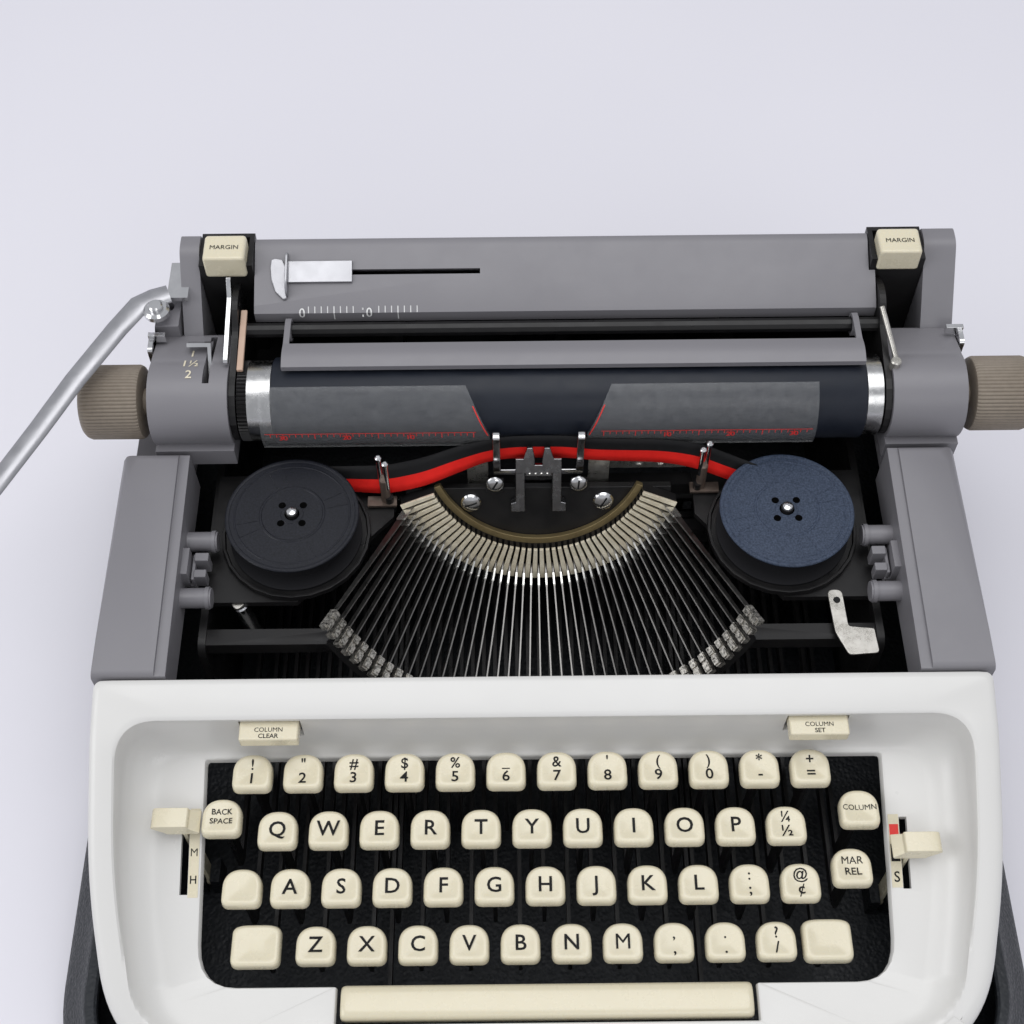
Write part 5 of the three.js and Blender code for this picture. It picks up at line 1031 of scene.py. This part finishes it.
for side, word, low, high, gloss, pack in (
        (-1, "left", (0.006, 0.007, 0.010), (0.014, 0.015, 0.022), 0.42, 21.0),
        (1, "right", (0.020, 0.030, 0.052), (0.052, 0.070, 0.112), 0.5, 15.0)):
    body = f"ribbon_spool_{word}"
    spool_finish = Finish(f"spool_moulding_{word}")
    speckle = spool_finish.noise(1400.0, 2.0)
    spool_cloud = spool_finish.noise(40.0, 4.0)
    spool_finish.surface(
        Base_Color=spool_finish.mixed(spool_finish.between(speckle, 0.0, 1.0), low, high),
        Specular_IOR_Level=0.25, Roughness=spool_finish.between(spool_cloud, gloss - 0.08, gloss + 0.06),
        Normal=spool_finish.bump(speckle, 0.25, 0.0001))
    here = (side * spool_x, spool_y, 0)
    spool = solid(f"spool_{word}", *turned_ring(flange, 96, here), spool_finish, body, 25)
    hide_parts(body)
    "spool_dark" if side < 0 else "spool_blue"
    roll = [(88.0, 3.0), (88.0, 26.3), (88.3, 26.8), (88.9, 26.8), (89.2, 26.3), (89.2, pack), (101.8, pack),
            (101.8, 3.0)]
    solid(f"ribbon_roll_{word}", *turned_ring(roll, 72, here), roll_finish, body)
    for number, turn in enumerate((8.0, -8.0)):
        row_of(f"spool_ribs_{word}_{number}", box(14.0, 22.4, -0.22, 0.22, 102.95, 103.14), spool_finish, body,
               4, turn + 20, 90, place=moved_to(here))
    # Four near-black discs in each flange are painted shade for its holes.
    row_of(f"spool_holes_{word}", lathe(((102.4, 1.5), (103.04, 1.5)), 20), hole_shade_finish, body, 4, 45, 90,
           (6.0, 0, 0), place=moved_to(here))
    cup = from_cad(f"cup_{word}", f"spool_cup_{word}", dark_finish, BASE, 0.3, 30)
    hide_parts(f"spool_cup_{word}")
    pin_profile = ((spool_top - 0.2, 2.3), (104.6, 2.3), (105.4, 1.9), (105.8, 1.0))
    solid(f"spool_pin_{word}", *lathe(pin_profile, 24, here), chrome_finish, BASE)
rust_finish = one_noise(
    "browned_steel", (240.0, 6.0, 0.75), (0.10, 0.07, 0.055), (0.34, 0.27, 0.23), (0.3, 0.55), Metallic=0.7)
for word, x, y in post_places:
    side = 1 if x > 0 else -1
    pins = together(*[lathe(
        ((98, 1.0), (114.2 + up, 1.0), (114.4 + up, 1.35), (115.4 + up, 1.35), (115.8 + up, 0.8)), 18,
        (x + side * out, y + back, 0)) for up, out, back in ((0, 0, 0), (2, 2.6, 1.6))])
    solid(f"ribbon_post_{word}", *pins, chrome_finish, BASE)
    sleeve = lathe(((88, 2.0), (103.5, 2.0), (104.2, 1.5)), 18, (x + side * 1.3, y + 0.8, 0))
    bracket = box(*sorted((x - side * 3, x + side * 9)), y - 2.2, y + 2.6, 87.2, 88.4)
    solid(f"post_foot_{word}", *together(sleeve, bracket), rust_finish, BASE)

# Levers beside the spools
# Plated plates and a tube of the mechanism show beside the two spools. They are the near ends of
# links that run on under the housing.
worn_finish = Finish("worn_plated_steel")
worn_spots = worn_finish.noise(160.0, 6.0, 0.75)
worn_finish.surface(
    Base_Color=worn_finish.mixed(
        worn_finish.between(worn_spots, 0.0, 1.0), (0.42, 0.40, 0.36), (0.66, 0.64, 0.6)),
    Roughness=worn_finish.between(worn_spots, 0.2, 0.42), Metallic=0.85)

right_plate = flat_plate(curved_outline([
    (114.4, 11.0, 2.6), (120.4, 11.0, 2.6), (121.0, -5.6, 1.2), (131.0, -6.6, 1.0), (131.6, -17.4, 1.6),
    (119.6, -18.2, 1.6), (115.4, -8.0, 1.2)], 6), 85.2, 86.2)
bevelled(solid("right_link_plate", *right_plate, worn_finish, BASE), 0.25)
# A thin black disc on the plate is painted shade for its hole.
solid("right_link_hole", *lathe(((86.1, 1.4), (86.35, 1.4)), 20, (117.8, 6.2, 0)), ink_and_shade_finish, BASE)
left_plate = flat_plate(curved_outline([
    (-127.8, 23.0, 2.0), (-122.4, 23.4, 2.0), (-117.2, 9.0, 2.4), (-121.4, 5.0, 2.4), (-126.0, 12.0, 2.0)], 6),
    83.4, 84.6)
bevelled(solid("left_link_plate", *left_plate, worn_finish, BASE), 0.25)


def tube_between(start, end, radius, steps=16):
    """A round bar from one point to another."""
    start, end = Vector(start), Vector(end)
    turn, length = (end - start).to_track_quat("Z", "Y").to_matrix(), (end - start).length
    points, faces = lathe(((0, radius * 0.8), (radius * 0.2, radius), (length - radius * 0.2, radius),
                           (length, radius * 0.8)), steps)
    return points @ np.array(turn).T + np.array(start), faces


solid("left_tube", *tube_between((-120.4, 9.0, 82.0), (-115.5, 5.6, 62.0), 3.1, 24), chrome_finish, BASE)
# A black disc at the tube's upper end is painted shade for its bore.
solid("left_tube_bore", *tube_between((-120.45, 9.03, 82.2), (-120.4, 9.0, 81.9), 1.7, 20),
      ink_and_shade_finish, BASE)
row_of("print_bar_rivets", lathe(((0, 1.9), (0.7, 1.8), (1.0, 1.2), (1.1, 0.4)), 20), worn_finish, BASE, 2,
       arm=(42, 68.4, 94.0), line=(9, 0, 0))
solid("print_bar_strip", *box(30, 62, 68.6, 69.4, 90.0, 94.6), worn_finish, BASE)

# Line guides
# Two clear curved sheets hold the paper to the platen. A red tenth-inch scale is printed along
# their lower edge, and each is screwed to a plated foot on the print bar.
CARRIAGE = (11.0, 0.0, 0.0)
platen_y, platen_z = 84.3, 118.0
sheet_inner, sheet_outer, print_radius, scale_start = 19.2, 19.9, 20.0, 26.0
clear_finish = Finish("clear_sheet")
clear_scratch = clear_finish.noise(260.0, 6.0, 0.8)
clear_finish.surface(
    Base_Color=clear_finish.mixed(clear_scratch, (0.44, 0.45, 0.46), (0.54, 0.55, 0.56)),
    Roughness=clear_finish.between(clear_scratch, 0.08, 0.3),
    Alpha=clear_finish.between(clear_scratch, 0.06, 0.12), Coat_Weight=0.25, Coat_Roughness=0.06)


def on_platen(x, degrees, radius):
    turn = math.radians(degrees)
    return x, platen_y - radius * math.cos(turn), platen_z + radius * math.sin(turn)


for side, word in ((-1, "left"), (1, "right")):
    bands = []
    for degrees in np.linspace(-20, 68, 34):
        inner = side * (19.5 + 9.4 * max(0.0, (degrees - 4) / 64))
        outer = side * 111.0
        bands.append(np.array([on_platen(x, degrees, radius) for x, radius in (
            (inner, sheet_inner), (outer, sheet_inner), (outer, sheet_outer), (inner, sheet_outer))]))
    guide_sheet = solid(f"line_guide_{word}", *loops(bands), clear_finish, BASE, 40)
    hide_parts(f"card_guide_{word}")
    foot = prism_x([(64.1, 83.4), (64.8, 83.4), (64.8, 109.2), (64.1, 109.2)],
                   *sorted((side * 20.6, side * 29.4)))
    bevelled(solid(f"line_guide_foot_{word}", *foot, worn_finish, BASE), 0.2)
    tick = ([(-0.14, 0, -0.9), (0.14, 0, -0.9), (0.14, 0, 0.9), (-0.14, 0, 0.9)], [(0, 1, 2, 3)])
    at = math.radians(7)
    low_tick = (
        np.array(tick[0]) + (0, -print_radius * math.cos(at), print_radius * math.sin(at)), tick[1])
    row_of(f"red_ticks_{word}", low_tick, red_finish, BASE, 33, arm=(side * scale_start, 0, 0),
           line=(side * 2.54, 0, 0), place=moved_to((0, platen_y, platen_z)))
    long_tick = (
        np.array(tick[0]) * (1.2, 1, 1.7) + (0, -20.02 * math.cos(at), 20.0 * math.sin(at) - 0.6), tick[1])
    row_of(f"red_long_ticks_{word}", long_tick, red_finish, BASE, 7, arm=(side * scale_start, 0, 0),
           line=(side * 12.7, 0, 0), place=moved_to((0, platen_y, platen_z)))
    slants = [(20.0 + 9.4 * a / 8, 4 + 8 * a, 20.0 + 9.4 * (a + 1) / 8, 12 + 8 * a) for a in range(5)]
    edge_line = together(*[([on_platen(side * x, degrees, print_radius) for x, degrees in (
        (x0, d0), (x0 + 0.5, d0), (x1 + 0.5, d1), (x1, d1))], [(0, 1, 2, 3)]) for x0, d0, x1, d1 in slants])
    solid(f"red_slant_{word}", *edge_line, red_finish, BASE)
    solid(f"red_base_line_{word}", [on_platen(side * x, d, print_radius) for x, d in (
        (25.0, 9.6), (109.5, 9.6), (109.5, 10.4), (25.0, 10.4))], [(0, 1, 2, 3)], red_finish, BASE)
    scale_marks = []
    for number in range(1, 4):
        x = side * (scale_start + 25.4 * number)
        flat_marks = glyph(str(number * 10))
        points = [(x + u * 3.6, *on_platen(0, 3.0 + v * 10.5, 20.02)[1:]) for u, v in flat_marks[0]]
        scale_marks.append((points, flat_marks[1]))
    solid(f"red_numbers_{word}", *together(*scale_marks), red_finish, BASE)

# Platen and knobs
# The roller is ground hard rubber on a steel axle, with bright end bands and a fine ratchet. The
# taupe knobs are moulded with fine ribs and clamp on the axle.
rubber_finish = Finish("hard_rubber")
rubber_wear = rubber_finish.noise(75.0, 6.0, 0.7)
rubber_turn = rubber_finish.node("ShaderNodeTexWave", {"wave_type": "BANDS", "bands_direction": "X"}, {
    "Vector": rubber_finish.place(), "Scale": 900.0, "Distortion": 2.0})
rubber_finish.surface(
    Base_Color=rubber_finish.mixed(rubber_wear, (0.007, 0.009, 0.015), (0.017, 0.021, 0.031)),
    Specular_IOR_Level=0.28, Roughness=rubber_finish.between(rubber_wear, 0.32, 0.5),
    Normal=rubber_finish.bump(rubber_turn, 0.12, 0.00006))
axis_point = (0, platen_y, platen_z)
roller = solid("roller", *lathe((
    (-117.6, 17.0), (-117.3, 17.4), (-117.0, 17.5), (119.4, 17.5), (119.7, 17.4), (120.0, 17.0)), 96,
    axis_point, "X"), rubber_finish, "platen", 25, CARRIAGE)
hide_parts("platen")
band_finish = one_noise(
    "polished_band", (300.0, 4.0), (0.46, 0.46, 0.46), (0.6, 0.6, 0.6), (0.16, 0.3), Metallic=1.0)
end_bands = together(
    lathe(((-127.5, 15.9), (-127.3, 16.4), (-117.9, 16.4), (-117.6, 15.9)), 80, axis_point, "X"),
    lathe(((120.0, 15.9), (120.3, 16.4), (126.5, 16.4), (126.8, 15.9)), 80, axis_point, "X"),
    *[lathe(((start, 4.0), (end, 4.0)), 32, axis_point, "X")
      for start, end in ((-180.8, -131.2), (126.9, 173.8))])
solid("end_bands", *end_bands, band_finish, "platen", 25, CARRIAGE)
tooth_count = 60
tooth_radii = np.tile([16.4, 15.6, 15.4], tooth_count)
tooth_turns = np.arange(len(tooth_radii)) * 2 * math.pi / len(tooth_radii)
tooth_ring = np.column_stack([
    np.zeros(len(tooth_radii)), tooth_radii * np.cos(tooth_turns), tooth_radii * np.sin(tooth_turns)])
tooth_rings = [tooth_ring + np.array(axis_point) + (x, 0, 0) for x in (-131.3, -130.9, -127.9, -127.5)]
solid("ratchet", *loops(tooth_rings), dark_finish, "platen", 20, CARRIAGE)

knob_finish = Finish("taupe_moulding")
knob_cloud = knob_finish.noise(60.0, 4.0)
knob_dirt = knob_finish.noise(420.0, 4.0, 0.7)
knob_finish.surface(
    Base_Color=knob_finish.mixed(knob_dirt, (0.165, 0.135, 0.105), (0.25, 0.21, 0.165)),
    Roughness=knob_finish.between(knob_cloud, 0.42, 0.6), Normal=knob_finish.bump(knob_dirt, 0.1))
rib_count, rib_steps = 60, 4
knob_turns = np.arange(rib_count * rib_steps) * 2 * math.pi / (rib_count * rib_steps)
rib_wave = np.tile([0.0, 0.42, 0.5, 0.42], rib_count)
for side, word, start in ((-1, "left", -169.4), (1, "right", 162.4)):
    knob_rings = []
    for along, radius, ribs in ((0, 5.5, 0), (1.55, 5.5, 0), (1.6, 13.6, 0), (2.0, 14.6, 0.3), (3.2, 15.2, 1),
                                (23.0, 15.2, 1), (24.6, 14.6, 0.8), (25.8, 13.3, 0.3), (26.4, 11.6, 0),
                                (26.2, 8.0, 0), (25.8, 7.6, 0), (25.8, 2.0, 0)):
        radii = radius - 0.5 * ribs + rib_wave * ribs
        at_x = np.full(len(knob_turns), start + side * along)
        knob_rings.append(np.column_stack([at_x, radii * np.cos(knob_turns), radii * np.sin(knob_turns)])
                          + np.array(axis_point))
    knob = solid(f"knob_{word}", *loops(knob_rings), knob_finish, "platen", 40, CARRIAGE)
    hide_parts(f"platen_knob_{word}")

# Carriage frame and covers
# A black steel frame with a cross rod carries the roller. Grey painted end covers close it, rise to
# the margin keys and hold the paper table, a folded grey sheet with a scale for the paper's edge.
painted("carriage_frame", dark_finish)
white_finish = one_noise("print_white", (700.0, 3.0), (0.6, 0.6, 0.6), (0.8, 0.8, 0.79), (0.5, 0.65))
for word in ("left", "right"):
    cover = from_cad(f"end_cover_{word}_piece", f"end_cover_{word}", grey_finish, "carriage", 1.1, 35)
    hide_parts(f"end_cover_{word}")
cover_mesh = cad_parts["end_cover_left"].data
cover_top = BVHTree.FromPolygons([vertex.co / MM for vertex in cover_mesh.vertices],
                                 [polygon.vertices for polygon in cover_mesh.polygons])


def on_cover(x, y):
    hit = cover_top.ray_cast(MIDDLE + Vector((x, y, 300)), Vector((0, 0, -1)))[0]
    return hit.z if hit else 100.0


cream_finish = one_noise("print_cream", (700.0, 3.0), (0.62, 0.56, 0.42), (0.76, 0.7, 0.55), (0.5, 0.65))
space_numbers = [(text, -139.4, y, 0, 5.6) for text, y in (("1", 97.0), ("1½", 90.6), ("2", 84.2))]
lettering("line_space_numbers", space_numbers, cream_finish, "carriage", 0.25, on_cover)
table_sheet = from_cad("paper_table_sheet", "paper_table", grey_finish, "carriage", 0.5, 30)
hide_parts("paper_table")


def on_fold(x, up, lift=0.1):
    """A point so far up the table's front edge, a low lip that turns over into the sheet."""
    if up < 5.1:
        return x, 112.4 - lift, 134 + up
    return x, 112.4 + (up - 5.1) * 0.81 - lift * 0.6, 139.1 + (up - 5.1) * 0.59 + lift * 0.8


def fold_mark(low, high, width):
    return [on_fold(x, up) for x, up in (
        (-width / 2, low), (width / 2, low), (width / 2, high), (-width / 2, high))], [(0, 1, 2, 3)]


for start, count in ((1, 4), (6, 3), (12, 3), (16, 3)):
    row_of(f"table_ticks_{start}", fold_mark(5.2, 7.9, 0.36), white_finish, "carriage", count,
           arm=(-106.5 + 2.6 * start, 0, 0), line=(2.6, 0, 0), place=moved_to(CARRIAGE))
row_of("table_long_ticks", together(fold_mark(1.4, 5.0, 0.44), fold_mark(5.1, 7.9, 0.44)), white_finish,
       "carriage", 2, arm=(-93.5, 0, 0), line=(26.0, 0, 0), place=moved_to(CARRIAGE))
table_numbers = []
for value in (0, 1):
    marks = glyph(str(value * 10))
    x = -106.5 + 26.0 * value
    table_numbers.append(([on_fold(x + u * 5.2, 5.0 + v * 5.6, 0.45) for u, v in marks[0]], marks[1]))
solid("table_numbers", *together(*table_numbers), white_finish, "carriage", 30, CARRIAGE)


def on_table(y, lift):
    return 141 + (y - 115) * 11 / 23 + lift


satin_finish = one_noise(
    "satin_nickel", (200.0, 4.0), (0.36, 0.36, 0.38), (0.46, 0.46, 0.48), (0.32, 0.45), Metallic=0.85)
slider = from_cad("guide_slider", "paper_guide", satin_finish, "paper_guide", 0.25, 30)
fin = [(-119.0, 131.6), (-117.4, 132.0), (-114.6, 131.6), (-113.2, 129.0), (-112.6, 117.0), (-114.0, 116.6),
       (-117.2, 119.6), (-118.9, 124.0), (-119.4, 128.6)]
fin_points = [(x, y, on_table(y, lift)) for lift in (0.3, 1.5) for x, y in fin]
fin_plate = solid("guide_fin", fin_points, flat_plate(fin, 0, 1)[1], satin_finish, "paper_guide", 30, CARRIAGE)
bevelled(fin_plate, 0.3)
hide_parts("paper_guide")

# Paper bail and carriage levers
# A crowned grey bar on two arms presses the paper to the roller. Chrome levers stand at the covers:
# the line space lever, the paper release and the two carriage releases.
bail = from_cad("bail_bar", "paper_bail", grey_finish, "paper_bail", 0.5, 30)
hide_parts("paper_bail")
for node in ("line_space_lever", "carriage_release_left", "carriage_release_right", "paper_release_lever"):
    lever = from_cad(f"{node}_piece", node, chrome_finish, node, 0.25, 30)
    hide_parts(node)
for word, x in (("left", -137.0), ("right", 135.6)):
    margin = from_cad(f"margin_cap_{word}", f"margin_key_{word}", key_finish, f"margin_key_{word}", 1.2, 40)
    margin.data.transform(Matrix.Translation((0, -3.5 * MM, -2 * MM)))
    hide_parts(f"margin_key_{word}")
    lettering(f"margin_legend_{word}", [("MARGIN", x + 11.0, 131.4, 158.1, 3.1)], ink_and_shade_finish,
              f"margin_key_{word}")

beige_finish = one_noise("beige_lever", (120.0, 5.0), (0.42, 0.27, 0.19), (0.62, 0.46, 0.36), (0.35, 0.5))
blade = prism_x([(86, 134.6), (114, 138.4), (114, 140.0), (86, 136.2)], -131.4, -128.8)
bevelled(solid("beige_blade", *blade, beige_finish, "carriage", 35, CARRIAGE), 0.4)
link = together(tube_between((126.5, 105.4, 148.0), (132.0, 86.5, 136.5), 1.1),
                tube_between((131.4, 85.6, 133.5), (131.4, 85.6, 138.5), 2.2))
solid("margin_link", *link, worn_finish, "carriage", 35, CARRIAGE)

# Return lever
# The lever is a bent chrome-plated bar that tapers to its grip and turns on a domed screw in a
# channel bracket at the left end cover.
lever_stations = (
    (-161.0, 121.0, 142.6, 9.0), (-167.0, 118.6, 142.4, 10.0), (-172.6, 115.6, 142.0, 10.0),
    (-180.0, 103.5, 141.6, 9.4), (-193.6, 78.5, 140.4, 9.0), (-206.0, 58.0, 135.6, 8.8),
    (-219.4, 37.0, 130.6, 8.6), (-229.0, 22.0, 127.2, 8.6), (-237.0, 9.0, 124.4, 7.0))
lever_rings = []
for index, (x, y, z, width) in enumerate(lever_stations):
    before, after = lever_stations[max(index - 1, 0)], lever_stations[min(index + 1, len(lever_stations) - 1)]
    ahead = (Vector(after[:3]) - Vector(before[:3])).normalized()
    across_lever = ahead.cross(Vector((0, 0, 1))).normalized()
    up = across_lever.cross(ahead)
    lever_rings.append(np.array([
        tuple(Vector((x, y, z)) + across_lever * (width / 2 * a) + up * b) for a, b in (
            (-1, -0.6), (-0.92, 0.5), (-0.5, 1.3), (0, 1.6), (0.5, 1.3), (0.92, 0.5), (1, -0.6), (0.9, -1.2),
            (0, -0.6), (-0.9, -1.2))]))
return_lever = solid("return_bar", *loops(lever_rings), satin_finish, "return_lever", 50, CARRIAGE)
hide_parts("return_lever")
channel = together(
    tube_between((-165.2, 112.6, 139.4), (-165.2, 112.6, 143.6), 5.4, 32),
    tube_between((-165.2, 112.6, 143.4), (-165.2, 112.6, 145.6), 3.0, 28),
    prism_x([(118, 141.2), (137, 141.2), (137, 143.2), (118, 143.2)], -161.5, -153.0))
solid("return_channel", *channel, chrome_finish, "return_lever", 40, CARRIAGE)
